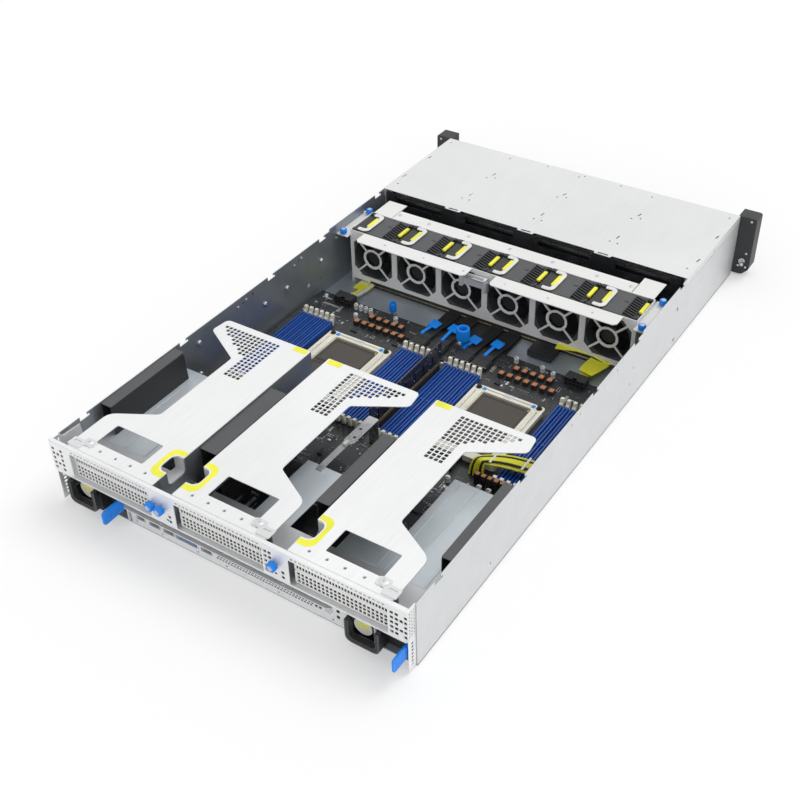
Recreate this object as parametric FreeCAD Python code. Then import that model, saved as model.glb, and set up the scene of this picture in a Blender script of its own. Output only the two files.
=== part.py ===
"""A 2U rack server with its main cover off, as separate pieces in millimetres.

X runs across the rack, Y from the front to the rear and Z up. While the pieces are made,
Y is counted from the front edge of the body and Z from its underside. On writing, every
piece is shifted along Y so that the origin is under the middle of the whole server.
Shares are parts of the body's width, so that what lies across the rack follows it.
"""

import FreeCAD, Part
import math
import os

Vector = FreeCAD.Vector

# Body
body_width = 438.0
body_height = 87.0
sheet = 1.2
thin_sheet = 1.0
wall_height = 82.7
fan_wall_height = 86.0
bay_wall_height = 76.0
rest_gap = 0.3
slide_gap = 0.5
notch_length = 14.0
notch_depth = 5.5
notch_shares = (0.24, 0.401, 0.535, 0.738, 0.936)
standoff_width = 6.0
standoff_inset = 8.0
standoff_shares = (-0.46, 0.0, 0.46)
rear_standoff_shares = (-0.28, 0.28)

# Drive bay
bay_depth = 175.1
bay_columns = 4
bay_rows = 3
bay_side_gap = 3.0
ledge_width = 8.0
ledge_sheet = 0.8
lid_tab_width = 24.0
lid_tab_reach = 4.0
drive_side_gap = 2.2
drive_height = 25.4
drive_front = 8.0
drive_rear_gap = 20.1
drive_rest = 0.6
tray_rear_gap = 17.1
tray_face = 3.6
tray_face_rear = 3.0
tray_rail = 1.9
tray_rail_height = 15.0
tray_tie_height = 5.0
vent_length = 60.0
vent_height = 3.2
vent_count = 2
lever_depth = 4.4
lever_height = 11.0
lever_end_gap = 15.0
lever_catch_depth = 3.5
lever_catch_gap = 2.0
hinge_pin_radius = 1.2
hinge_clearance = 0.06
hinge_barrel_radius = 2.4
lever_grip = (34.0, 6.0)
lever_grip_wall = 2.5
lug_thickness = 1.7

# Backplane
backplane_thickness = 2.0
backplane_side_gap = 7.0
backplane_bottom = 4.0
backplane_top = 84.0
backplane_vent_share = 0.667
backplane_vent_heights = (0.45, 0.85)
backplane_socket = (20.0, 9.0, 6.0)
backplane_socket_bottom = 40.0
backplane_socket_shifts = (-28.0, 4.0, 32.0)

# Rack ears
ear_width = 22.3
ear_reach = 21.0
ear_bottom = 3.0
ear_chamfer = 9.0
ear_wall = 3.0
ear_tongue_length = 30.0
ear_tongue_sheet = 1.2
ear_tongue_margin = 10.0
release_reach = 6.0
release_size = (8.0, 7.0)
release_bottom = 20.0
ear_pocket = (28.0, 50.0)
ear_round = 3.0
rack_screw_inset = 8.75
rack_screw_height = 21.4
rack_screw_radius = 2.5
rack_screw_length = 8.0
rack_screw_root = 2.0
button_radius = 4.0
button_length = 6.0
button_proud = 1.5
button_clearance = 0.1
button_height = 62.0
button_travel = 3.0
button_sides = 10

# Fan cage and fans
fan_count = 6
fan_space = 53.2
fan_depth = 50.0
fan_centre_height = 45.0
cage_side_gap = 18.6
cage_bottom = 8.0
cage_top = 80.0
cage_flange = 21.0
cage_flange_corner = 4.0
cage_front_flange_gap = 49.0
cage_rear_flange_gaps = (40.0, 35.0)
cage_middle_gap = (-16.0, 18.0)
end_plate = (28.0, 16.0)
end_plate_gap = 20.0
divider_top = 62.0
divider_sheet = 0.8
grille_margin = 3.0
grille_corner = 12.0
grille_ring_radius = 12.5
grille_bar = 2.6
grille_ring_sides = 10
fan_wall = 3.8
bore_sides = 20
fan_tip_gap = 1.2
fan_hub_radius = 12.0
fan_hub_depth = 5.0
fan_hub_sides = 6
fan_arm_count = 3
fan_arm = 3.0
fan_shaft_radius = 2.0
shaft_clearance = 0.06
blade_count = 5
blade_thickness = 1.2
blade_chord = 26.0
blade_angle = 40.0
rotor_front_gap = 6.0
rotor_rear_gap = 4.0
fan_handle_height = 3.0
fan_handle_bar = 5.0
fan_handle_length = 16.0
fan_handle_gap = 1.5
fan_handle_inset = 7.0
latch_bar_height = 2.5
latch_bar_width = 4.0
latch_bar_inset = (16.0, 14.0)
ledge_height = 72.0
ledge_inset = 14.0
ledge_overhang = 12.0
cage_tab_reach = 15.0
cage_tab_overhang = 8.0

# Main board
board_bottom = 7.0
board_thickness = 2.0
board_front_gap = 50.7
board_length = 443.0
board_side_gap = 4.0
board_shoulder_gap = 8.0
socket_pitch_share = 0.0185
socket_length = 146.0
socket_width = 6.4
socket_height = 8.0
socket_front_gap = 62.0
socket_count = 6
socket_group_shares = (0.4502, 0.1078, -0.0365, -0.3756)
latch_height = 15.0
latch_length = 6.0
latch_foot_share = 0.7
latch_side_gap = 0.4
slot_width = 1.8
slot_floor = 3.0
slot_end = 2.0
cpu_shares = (0.2249, -0.2489)
cpu_frame_share = 0.2055
cpu_frame_gap = 77.0
cpu_frame_length = 118.0
cpu_frame_height = 10.0
cpu_frame_bar = 13.0
cpu_frame_front_bar = 9.5
cpu_window_length = 98.0
cover_height = 5.0
cpu_post_radius = 2.5
cpu_post_inset = (6.0, 4.5)
cpu_post_height = 14.0
coil_row_gaps = (23.0, 40.0)
coil_counts = (5, 7)
coil_pitch = 11.0
coil_size = 7.0
coil_height = 6.0
rear_coil_share = -0.377
rear_coil_gap = 217.0
rear_coil_count = 6
rear_coil_pitch = 7.6
rear_coil_size = 5.0
rear_coil_height = 15.0
cable_plug_gap = 35.0
cable_plug_size = (22.0, 16.0)
corner_plug_places = (172.0, -158.0)
corner_plug_size = (26.0, 14.0)
corner_plug_height = 11.0
corner_plug_inset = 8.0
guide_post_place = (110.0, -9.0)
guide_post_radius = 5.0
guide_post_top = 28.0
guide_knob_place = (-7.0, 13.0)
guide_knob_radius = 8.5
guide_knob_stem = 3.0
guide_knob_hole = 5.0
guide_knob_levels = (9.0, 26.0, 40.0)
cooling_block_places = (-45.0, 24.0)
cooling_block_gap = 321.0
cooling_block_width = 36.0
cooling_block_height = 16.0
cooling_base = 4.0
fin_thickness = 2.0
fin_count = 6
card_rail_places = (-24.0, -11.0)
card_rail_gap = 221.0
card_rail_length = 99.0
card_rail_top = 46.0
centre_board_place = -4.0
centre_board_socket = (6.6, 7.0)
centre_board_foot = 8.0
centre_board_top = 45.0
centre_board_length = 150.0
centre_board_lead = 3.0

# Riser cages
riser_edge_shares = (0.1826, 0.1256, -0.1941)
riser_sides = (1, -1, -1)
riser_top = 84.3
riser_rim = 4.7
riser_length = 259.0
riser_head_share = 0.2786
riser_trunk_share = 0.1541
riser_tail_share = 0.2637
riser_head_slant = 3.0
riser_head_length = 25.0
riser_trunk_gap = 56.6
riser_tail_length = 59.2
riser_tail_slant = 26.8
riser_window = (30.0, 22.5)
riser_window_gap = 18.0
riser_window_length = 32.0
finger_hole_gap = 21.0
finger_hole_length = 26.0
finger_hole_depth = 12.0
finger_hole_drop = 18.0
slot_cover_height = 17.0
slot_cover_pitch = 18.0
slot_cover_gap = 5.25
slot_cover_recess = 10.0
slot_count = 2
slot_vent_count = 5
slot_vent_margin = 5.0
slot_vent_share = 0.8
riser_card_thickness = 1.6
riser_card_margins = (2.0, 6.0)

# Rear frame and power supplies
rear_overhang = 13.7
frame_bottom = 43.0
bay_window_bottom = 45.5
bay_window_top = 76.5
bay_window_margins = (4.0, 4.5)
frame_side_reach = 44.0
shelf_length = 61.7
baffle_sheet = 1.5
baffle_top = 82.0
baffle_front_gap = 14.0
baffle_rear_gap = 74.0
wall_baffle_widths = (14.5, 10.5)
riser_baffle_gap = 3.0
riser_baffle_width = 15.5
supply_width = 73.5
supply_height = 40.0
supply_length = 185.0
supply_recess = 20.7
left_supply_gap = 11.3
supply_fan_radius = 18.0
supply_fan_tip = 17.0
supply_fan_hub = 10.0
supply_fan_offset = 55.0
supply_rotor_gaps = (15.0, 2.0)
supply_bore_depth = 22.0
supply_blade_chord = 12.0
spindle_length = 10.0
inlet_offset = 22.0
inlet_width = 24.0
inlet_height = 18.0
inlet_depth = 16.0
inlet_pin_pitch = 6.0
inlet_pin = (2.0, 10.0, 4.0)
handle_reach = 26.0
handle_bar = 5.0
handle_drop = 27.0
handle_width = 38.0
paddle_reach = 40.0
paddle_thickness = 3.0
paddle_bottom = 20.0
paddle_top = 37.0
paddle_pin_radius = 1.5
paddle_barrel_radius = 2.6
paddle_offset = 3.0
paddle_pin_reach = 5.0
paddle_ear_half = 2.2
paddle_ear_thickness = 2.0
io_lip_height = 34.0
io_lip_round = 8.0
io_lip_ends = (10.0, 4.0)
io_sockets = (
    (13.5, 13.0, 15.0),
    (32.5, 16.0, 14.0),
    (51.5, 16.0, 14.0),
    (75.5, 31.0, 12.0),
    (101.5, 16.0, 14.0),
)
socket_shell_length = 14.0

# Thumbscrews and cables
thumbscrew_radius = 4.6
thumbscrew_length = 9.5
thumbscrew_height = 65.0
thumbscrew_sides = 6
thumbscrew_places = ((0, 0.0), (0, -12.0), (2, 19.0))
cage_screw_height = 8.0
cage_screw_inset = 5.0
flat_cable_width = 18.0
flat_cable_thickness = 5.0
flat_cable_places = (42.0, 16.0, -20.5, -45.0)
cable_bend_gaps = (25.0, 4.0)
bundle_thickness = 6.0
bundle_bottom = 24.3
bundle_width = 24.0
bundle_inner_share = -0.286
bundle_gap = 171.0
corner_cable_width = 12.0

# Worked out from the sizes above
half_width = body_width / 2
wall_inside = half_width - sheet
rack_width = body_width + 2 * ear_width
rack_screw_pitch = rack_width - 2 * rack_screw_inset
lid_underside = body_height - thin_sheet
column_pitch = (body_width - 2 * bay_side_gap) / bay_columns
row_pitch = (lid_underside - sheet) / bay_rows
tray_width = column_pitch - thin_sheet - 2 * slide_gap
tray_height = row_pitch - ledge_sheet - rest_gap - slide_gap
tray_length = bay_depth - tray_rear_gap
drive_width = tray_width - 2 * drive_side_gap
drive_length = bay_depth - drive_front - drive_rear_gap
fan_front = bay_depth + fan_space
fan_rear = fan_front + fan_depth
fan_pitch = (body_width - 2 * cage_side_gap) / fan_count
fan_width = fan_pitch - divider_sheet - 2 * slide_gap
fan_bore_radius = fan_width / 2 - fan_wall
fan_tip_radius = fan_bore_radius - fan_tip_gap
grille_half = fan_width / 2 - grille_margin
board_top = board_bottom + board_thickness
board_width = body_width - 2 * board_side_gap
board_front = fan_rear + board_front_gap
board_rear = board_front + board_length
body_depth = board_rear + 6 + rear_overhang
pan_depth = body_depth - rear_overhang
supply_face = body_depth - supply_recess
board_shoulder = supply_face - supply_length - board_shoulder_gap
socket_front = board_front + socket_front_gap
socket_pitch = body_width * socket_pitch_share
cpu_frame_front = board_front + cpu_frame_gap
cpu_frame_width = body_width * cpu_frame_share
cpu_window_width = cpu_frame_width - 2 * cpu_frame_bar
cable_plug_place = board_front + cable_plug_gap
corner_plug_row = board_front + corner_plug_inset
riser_rear = body_depth - riser_rim
riser_front = riser_rear - riser_length
riser_head = body_width * riser_head_share
riser_trunk = body_width * riser_trunk_share
riser_tail = body_width * riser_tail_share
riser_edges = [body_width * share for share in riser_edge_shares]
riser_bottom = frame_bottom + thin_sheet + rest_gap
supply_lefts = (wall_inside - supply_width - left_supply_gap, slide_gap - wall_inside)
supply_wall_places = (supply_lefts[0] - 1.5, supply_lefts[1] + supply_width + 0.5)
front_end = -(ear_reach + release_reach)
rear_end = supply_face + paddle_reach
shift_to_middle = -(front_end + rear_end) / 2


def block(x, y, z):
    """A box between the low and the high value on each axis."""
    size = Vector(x[1] - x[0], y[1] - y[0], z[1] - z[0])
    return Part.makeBox(size.x, size.y, size.z, Vector(x[0], y[0], z[0]))


def pushed(corners, direction):
    """The flat outline through the corners, pushed along a direction."""
    wire = Part.makePolygon(corners + [corners[0]])
    return Part.Face(wire).extrude(direction)


def plate_up(points, z):
    """An outline seen from above, between two heights."""
    return pushed([Vector(a, b, z[0]) for a, b in points], Vector(0, 0, z[1] - z[0]))


def plate_back(points, y):
    """An outline seen from the front, between two depths."""
    return pushed([Vector(a, y[0], b) for a, b in points], Vector(0, y[1] - y[0], 0))


def plate_across(points, x):
    """An outline seen from the side, between two places across the rack."""
    return pushed([Vector(x[0], a, b) for a, b in points], Vector(x[1] - x[0], 0, 0))


def corners_round(a, b, radius, sides):
    """The corners of a many-sided outline round a point."""
    points = []
    for index in range(sides):
        angle = 2 * math.pi * (index + 0.5) / sides
        points.append((a + radius * math.cos(angle), b + radius * math.sin(angle)))
    return points


def sided_up(x, y, radius, z, sides=6):
    """A many-sided bar that stands up, for pins and posts too small to need a true round."""
    return plate_up(corners_round(x, y, radius, sides), z)


def disc_back(x, z, radius, y):
    """A round disc along the depth, from the front y to the rear y."""
    return Part.makeCylinder(radius, y[1] - y[0], Vector(x, y[0], z), Vector(0, 1, 0))


def sided_back(x, z, radius, y, sides=6):
    """A many-sided bar that runs from front to rear."""
    return plate_back(corners_round(x, z, radius, sides), y)


def flat_to_flat(radius, sides=6):
    """The corner radius of a many-sided hole whose flats clear a radius."""
    return radius / math.cos(math.pi / sides)


def joined(shapes):
    """One solid from several that touch."""
    result = shapes[0].multiFuse(shapes[1:]) if len(shapes) > 1 else shapes[0]
    return result.removeSplitter()


def rounded(shape, radius, direction, keep=lambda point: True):
    """Round the edges that run along a direction, where keep says so."""
    edges = []
    for edge in shape.Edges:
        line = isinstance(edge.Curve, Part.Line)
        if line and abs(edge.Curve.Direction.dot(direction)) > 0.999:
            if keep(edge.CenterOfMass):
                edges.append(edge)
    return shape.makeFillet(radius, edges)


def mirrored(shape):
    """The same piece on the other side of the rack."""
    return shape.mirror(Vector(0, 0, 0), Vector(1, 0, 0))


def spread(low, count, pitch):
    """Evenly spaced places that start at low."""
    return [low + index * pitch for index in range(count)]


def fan_places():
    """The middle of each fan across the rack, from the left as seen from the rear."""
    return spread((fan_count - 1) * fan_pitch / 2, fan_count, -fan_pitch)


def column_places():
    """The middle of each drive column."""
    return spread(-(bay_columns - 1) * column_pitch / 2, bay_columns, column_pitch)


def row_bottoms():
    """The underside of the tray in each row, from the bottom row up."""
    return spread(sheet + ledge_sheet + rest_gap, bay_rows, row_pitch)


def side_wall():
    """The right-hand wall of the pan, with hooked notches in its top edge."""
    step = bay_depth + rest_gap
    outline = [(0, 0), (pan_depth, 0), (pan_depth, wall_height)]
    outline += [(fan_rear + cage_flange + 3, wall_height)]
    outline += [(fan_rear + cage_flange + 3, fan_wall_height), (step, fan_wall_height)]
    outline += [(step, bay_wall_height), (0, bay_wall_height)]
    wall = plate_across(outline, (wall_inside, half_width))
    for share in notch_shares:
        place = share * body_depth
        top = fan_wall_height if place < fan_rear else wall_height
        mouth = (place - notch_length / 4, place + notch_length / 2)
        pocket = (place - notch_length / 2, place + notch_length / 2)
        across = (wall_inside - 1, half_width + 1)
        wall = wall.cut(block(across, mouth, (top - notch_depth, top + 1)))
        wall = wall.cut(block(across, pocket, (top - notch_depth, top - notch_depth / 2)))
    return wall


def cage_ledge():
    """The bent ledge on the right-hand wall that the fan cage's tab is screwed to."""
    across = (wall_inside - ledge_overhang, wall_inside)
    y = (fan_front - ledge_inset, fan_rear + ledge_overhang)
    return block(across, y, (ledge_height - sheet, ledge_height))


def chassis_pan():
    """Floor, side walls, fan cage ledges and the hexagon standoffs of the main board."""
    floor = block((-half_width, half_width), (0, pan_depth), (0, sheet))
    pieces = [floor, side_wall(), mirrored(side_wall()), cage_ledge(), mirrored(cage_ledge())]
    places = [(share, board_front + standoff_inset) for share in standoff_shares]
    places += [(share, board_shoulder - standoff_inset) for share in standoff_shares]
    places += [(share, board_rear - standoff_inset) for share in rear_standoff_shares]
    for share, along in places:
        x = share * board_width
        pieces.append(sided_up(x, along, standoff_width / 2, (sheet, board_bottom)))
    return joined(pieces)


def drive_bay_lid():
    """The fixed cover over the drives, with folded sides and three hook tabs."""
    top = block((-half_width, half_width), (0, bay_depth), (lid_underside, body_height))
    side_z = (bay_wall_height + rest_gap, body_height)
    side = block((wall_inside, half_width), (0, bay_depth), side_z)
    pieces = [top, side, mirrored(side)]
    for place in (-column_pitch, 0, column_pitch):
        across = (place - lid_tab_width / 2, place + lid_tab_width / 2)
        y = (bay_depth, bay_depth + lid_tab_reach)
        pieces.append(block(across, y, (lid_underside, body_height)))
    return joined(pieces)


def drive_cage():
    """Bottom sheet, upright partitions and the ledges that the trays slide on."""
    reach = bay_columns * column_pitch / 2
    y = (0, bay_depth)
    half = thin_sheet / 2
    pieces = [block((-reach - half, reach + half), y, (sheet, sheet + ledge_sheet))]
    for index, place in enumerate(spread(-reach, bay_columns + 1, column_pitch)):
        pieces.append(block((place - half, place + half), y, (sheet, lid_underside)))
        low = place if index == 0 else place - ledge_width
        high = place if index == bay_columns else place + ledge_width
        for row in range(1, bay_rows):
            level = sheet + row * row_pitch
            pieces.append(block((low, high), y, (level, level + ledge_sheet)))
    return joined(pieces)


def hinge_place(x, bottom):
    """The pin of a tray's lever: its place across and along, and the lever's underside."""
    across = x - tray_width / 2 + 0.5 + hinge_barrel_radius
    along = tray_face_rear - tray_face - rest_gap - hinge_barrel_radius
    return across, along, bottom + lug_thickness + rest_gap


def tray_front(x, bottom):
    """The tray's face, with two long vents over the lever."""
    front = tray_face_rear - tray_face
    across = (x - tray_width / 2, x + tray_width / 2)
    face = block(across, (front, tray_face_rear), (bottom, bottom + tray_height))
    top_vent = bottom + tray_height - 2 * vent_height
    for level in spread(top_vent, vent_count, -2 * vent_height):
        vent_x = (x - vent_length / 2, x + vent_length / 2)
        vent_y = (front - 1, tray_face_rear + 1)
        face = face.cut(block(vent_x, vent_y, (level, level + vent_height)))
    return face


def lever_mount(x, bottom):
    """The two lugs and the pin that a tray's lever turns on, and the catch for its free end."""
    front = tray_face_rear - tray_face
    across, along, lever_bottom = hinge_place(x, bottom)
    lug_top = lever_bottom + lever_height + rest_gap
    lug_x = (across - hinge_barrel_radius, across + hinge_barrel_radius)
    lug_y = (along - hinge_barrel_radius, front)
    pieces = [block(lug_x, lug_y, (z, z + lug_thickness)) for z in (bottom, lug_top)]
    pieces.append(sided_up(across, along, hinge_pin_radius, (bottom, lug_top + lug_thickness)))
    high = x + tray_width / 2
    catch_x = (high - lever_end_gap + lever_catch_gap, high - lever_catch_gap)
    catch_z = (lever_bottom, lever_bottom + lever_height)
    pieces.append(block(catch_x, (front - lever_catch_depth, front), catch_z))
    return pieces


def drive_tray(x, bottom):
    """A hot-swap tray: vented face, two rails, rear tie and the drive that it carries."""
    low, high = x - tray_width / 2, x + tray_width / 2
    pieces = [tray_front(x, bottom)]
    for side in ((low, low + tray_rail), (high - tray_rail, high)):
        rail_z = (bottom, bottom + tray_rail_height)
        pieces.append(block(side, (tray_face_rear, tray_length), rail_z))
    tie_y = (tray_length - tray_rail, tray_length)
    pieces.append(block((low, high), tie_y, (bottom, bottom + tray_tie_height)))
    tray = joined(pieces + lever_mount(x, bottom))
    drive_x = (x - drive_width / 2, x + drive_width / 2)
    drive_bottom = bottom + drive_rest
    drive_y = (drive_front, drive_front + drive_length)
    drive = block(drive_x, drive_y, (drive_bottom, drive_bottom + drive_height))
    return Part.Compound([tray, drive])


def tray_lever(x, bottom):
    """The swinging lever on a tray's face, with a grip window near its free end."""
    across, along, lever_bottom = hinge_place(x, bottom)
    z = (lever_bottom, lever_bottom + lever_height)
    end = x + tray_width / 2 - lever_end_gap
    barrel = sided_up(across, along, hinge_barrel_radius, z)
    front = along - lever_depth / 2
    arm = block((across, end), (front, front + lever_depth), z)
    grip_x = (end - lever_grip[0], end - lever_grip[1])
    grip_z = (z[0] + lever_grip_wall, z[1] - lever_grip_wall)
    grip = block(grip_x, (front + lever_depth / 3, front + lever_depth + 1), grip_z)
    bore_radius = flat_to_flat(hinge_pin_radius + hinge_clearance)
    bore = sided_up(across, along, bore_radius, (z[0] - 1, z[1] + 1))
    return joined([barrel, arm]).cut(grip).cut(bore)


def backplane():
    """The upright board behind the drives, with vents and cable sockets."""
    y = (bay_depth, bay_depth + backplane_thickness)
    half = half_width - backplane_side_gap
    vent_half = column_pitch * backplane_vent_share / 2
    board = block((-half, half), y, (backplane_bottom, backplane_top))
    sockets = []
    width, depth, height = backplane_socket
    socket_z = (backplane_socket_bottom, backplane_socket_bottom + height)
    for x in column_places():
        for bottom in row_bottoms():
            low, high = [bottom + tray_height * share for share in backplane_vent_heights]
            across = (x - vent_half, x + vent_half)
            board = board.cut(block(across, (y[0] - 1, y[1] + 1), (low, high)))
        for place in [x + shift for shift in backplane_socket_shifts]:
            across = (place - width / 2, place + width / 2)
            sockets.append(block(across, (y[1], y[1] + depth), socket_z))
    return Part.Compound([board] + sockets)


def rack_ear():
    """The right-hand ear: a hollow grip block with a tongue inside the side wall."""
    inner = wall_inside - ear_tongue_sheet
    outer = rack_width / 2
    outline = [(inner, ear_bottom), (outer - ear_chamfer, ear_bottom)]
    outline += [(outer, ear_bottom + ear_chamfer), (outer, body_height), (inner, body_height)]
    grip = plate_back(outline, (-ear_reach, 0))
    grip = rounded(grip, ear_round, Vector(0, 0, 1), lambda p: p.y < -1 and p.x > half_width)
    pocket_x = (inner + ear_wall, outer - ear_wall)
    pocket = block(pocket_x, (-ear_reach - 1, -ear_wall), ear_pocket)
    tongue_z = (ear_bottom + ear_tongue_margin, bay_wall_height - ear_tongue_margin)
    tongue = block((inner, wall_inside), (0, ear_tongue_length), tongue_z)
    stud_y = (-rack_screw_root, rack_screw_length)
    place = (rack_screw_pitch / 2, rack_screw_height)
    stud = disc_back(*place, rack_screw_radius, stud_y)
    return joined([grip.cut(pocket), tongue, stud])


def rack_ears():
    """Both ears, the right-hand one bored for the power button."""
    right = rack_ear()
    place = rack_screw_pitch / 2
    bore_rear = -ear_reach - button_proud + button_length + button_travel
    bore_radius = button_radius + button_clearance
    bore_y = (-ear_reach - 1, bore_rear)
    bore = sided_back(place, button_height, bore_radius, bore_y, button_sides)
    left = mirrored(rack_ear())
    width, height = release_size
    release_z = (release_bottom, release_bottom + height)
    release_y = (-ear_reach - release_reach, -ear_reach)
    release = block((-place - width / 2, -place + width / 2), release_y, release_z)
    return Part.Compound([right.cut(bore), joined([left, release])])


def power_button():
    """The round button in the right-hand ear."""
    front = -ear_reach - button_proud
    y = (front, front + button_length)
    return sided_back(rack_screw_pitch / 2, button_height, button_radius, y, button_sides)


def grille_opening(x):
    """What is cut from the rear plate behind one fan: an octagon less its ring and bars."""
    half, corner, level = grille_half, grille_corner, fan_centre_height
    outline = [(x - half, level - half + corner), (x - half + corner, level - half)]
    outline += [(x + half - corner, level - half), (x + half, level - half + corner)]
    outline += [(x + half, level + half - corner), (x + half - corner, level + half)]
    outline += [(x - half + corner, level + half), (x - half, level + half - corner)]
    y = (fan_rear, fan_rear + 3)
    opening = plate_back(outline, y)
    bar_half = grille_bar / 2
    ring = sided_back(x, level, grille_ring_radius + bar_half, y, grille_ring_sides)
    hole = sided_back(x, level, grille_ring_radius - bar_half, y, grille_ring_sides)
    bar = block((x + grille_ring_radius, x + 2 * half), y, (level - bar_half, level + bar_half))
    guard = [ring.cut(hole)]
    for turn in range(4):
        spoke = bar.copy()
        spoke.rotate(Vector(x, 0, level), Vector(0, 1, 0), 45 + 90 * turn)
        guard.append(spoke)
    return opening.cut(joined(guard))


def fan_cage():
    """The sheet metal rack that holds the fans, with a guard behind each."""
    reach = fan_count * fan_pitch / 2
    across = (-reach, reach)
    rear = (fan_rear + rest_gap, fan_rear + rest_gap + thin_sheet)
    front = (fan_front - rest_gap - thin_sheet, fan_front - rest_gap)
    top = (cage_top - thin_sheet, cage_top)
    rear_plate = block(across, rear, (cage_bottom, cage_top))
    front_plate = block(across, front, (cage_bottom, cage_top))
    for x in fan_places():
        rear_plate = rear_plate.cut(grille_opening(x))
        hole = (x - grille_half, x + grille_half)
        span = (fan_centre_height - grille_half, fan_centre_height + grille_half)
        front_plate = front_plate.cut(block(hole, (front[0] - 1, front[1] + 1), span))
    base = block(across, (front[0], rear[1]), (cage_bottom, cage_bottom + thin_sheet))
    pieces = [rear_plate, front_plate, base]
    flange_end = half_width - cage_front_flange_gap
    pieces.append(block((-flange_end, flange_end), (front[0] - cage_flange, front[0]), top))
    ends = [half_width - gap for gap in cage_rear_flange_gaps]
    pieces.append(rear_flange(cage_middle_gap[1], ends[0], rear[1]))
    pieces.append(rear_flange(-ends[1], cage_middle_gap[0], rear[1]))
    for place in spread(-reach + fan_pitch, fan_count - 1, fan_pitch):
        wall = (place - divider_sheet / 2, place + divider_sheet / 2)
        pieces.append(block(wall, (front[1], rear[0]), (cage_bottom, divider_top)))
    for side in (1, -1):
        end = sorted((side * reach, side * (reach + thin_sheet)))
        pieces.append(block(end, (front[0], rear[1]), (sheet, cage_top)))
        tab = sorted((side * reach, side * (wall_inside - rest_gap)))
        tab_y = (front[0] - cage_tab_overhang, rear[1] + cage_tab_overhang)
        pieces.append(block(tab, tab_y, (ledge_height, ledge_height + thin_sheet)))
        plate_end = half_width - end_plate_gap
        plate = sorted((side * plate_end, side * (plate_end - end_plate[0])))
        pieces.append(block(plate, (front[0] - cage_flange - end_plate[1], front[0]), top))
    return joined(pieces)


def rear_flange(low, high, front):
    """A stretch of the rear top flange with its free corners cut off."""
    cut = cage_flange_corner
    rear = front + cage_flange
    outline = [(low, front), (high, front), (high, rear - cut), (high - cut, rear)]
    outline += [(low + cut, rear), (low, rear - cut)]
    return plate_up(outline, (cage_top - thin_sheet, cage_top))


def fan_module(x):
    """A hot-swap fan frame: bored body, shaft bearing on arms, pull handle and latch bar."""
    low, high = x - fan_width / 2, x + fan_width / 2
    level = fan_centre_height
    top = cage_top - thin_sheet
    y = (fan_front, fan_rear)
    through = (y[0] - 1, y[1] + 1)
    body = block((low, high), y, (cage_bottom + thin_sheet + rest_gap, top))
    pieces = [body.cut(sided_back(x, level, fan_bore_radius, through, bore_sides))]
    arm_x = (x, x + fan_bore_radius + 1)
    for turn in range(fan_arm_count):
        arm = block(arm_x, (y[0], y[0] + fan_arm), (level - fan_arm / 2, level + fan_arm / 2))
        arm.rotate(Vector(x, 0, level), Vector(0, 1, 0), 30 + 360 / fan_arm_count * turn)
        pieces.append(arm)
    hub_y = (y[0], y[0] + fan_hub_depth)
    pieces.append(sided_back(x, level, fan_hub_radius, hub_y, fan_hub_sides))
    pieces.append(pull_handle(x, top))
    bar_y = (y[0] + latch_bar_inset[0], y[1] - latch_bar_inset[1])
    pieces.append(block((low, low + latch_bar_width), bar_y, (top, top + latch_bar_height)))
    bore_radius = flat_to_flat(fan_shaft_radius + shaft_clearance)
    return joined(pieces).cut(sided_back(x, level, bore_radius, (y[0] - 1, hub_y[1] + 1)))


def pull_handle(x, bottom):
    """The flat U grip on top of a fan."""
    z = (bottom, bottom + fan_handle_height)
    open_end = x + fan_width / 2 - fan_handle_gap
    closed = open_end - fan_handle_length
    low, high = fan_front + fan_handle_inset, fan_rear - fan_handle_inset
    round_off = fan_handle_bar
    outline = [(open_end, low), (open_end, high), (closed + round_off, high)]
    outline += [(closed, high - round_off), (closed, low + round_off), (closed + round_off, low)]
    inside = (closed + fan_handle_bar, open_end + 1)
    gap = block(inside, (low + fan_handle_bar, high - fan_handle_bar), (z[0] - 1, z[1] + 1))
    return plate_up(outline, z).cut(gap)


def rotor(x, level, hub_radius, tip_radius, y, chord):
    """A hub with pitched blades whose corners stay inside the tip radius."""
    pieces = [sided_back(x, level, hub_radius, y, 2 * blade_count)]
    middle = (y[0] + y[1]) / 2
    swing = chord / 2 * math.sin(math.radians(blade_angle))
    reach = math.sqrt(tip_radius**2 - swing**2)
    for turn in range(blade_count):
        blade = block(
            (x + hub_radius * 0.8, x + reach),
            (middle - chord / 2, middle + chord / 2),
            (level - blade_thickness / 2, level + blade_thickness / 2),
        )
        blade.rotate(Vector(x, middle, level), Vector(1, 0, 0), blade_angle)
        blade.rotate(Vector(x, 0, level), Vector(0, 1, 0), 360.0 / blade_count * turn)
        pieces.append(blade)
    return joined(pieces)


def fan_rotor(x):
    """A main fan's rotor with the shaft that runs in the frame's bearing."""
    hub_y = (fan_front + rotor_front_gap, fan_rear - rotor_rear_gap)
    blades = rotor(x, fan_centre_height, fan_hub_radius, fan_tip_radius, hub_y, blade_chord)
    shaft = sided_back(x, fan_centre_height, fan_shaft_radius, (fan_front, hub_y[0] + 1))
    return joined([blades, shaft])


def motherboard():
    """The main board: full width at the front, narrower between the power supplies."""
    half = board_width / 2
    left, right = supply_lefts[0] - 3, supply_lefts[1] + supply_width + 3
    outline = [(-half, board_front), (half, board_front), (half, board_shoulder)]
    outline += [(left, board_shoulder), (left, board_rear), (right, board_rear)]
    outline += [(right, board_shoulder), (-half, board_shoulder)]
    return plate_up(outline, (board_bottom, board_top))


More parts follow.
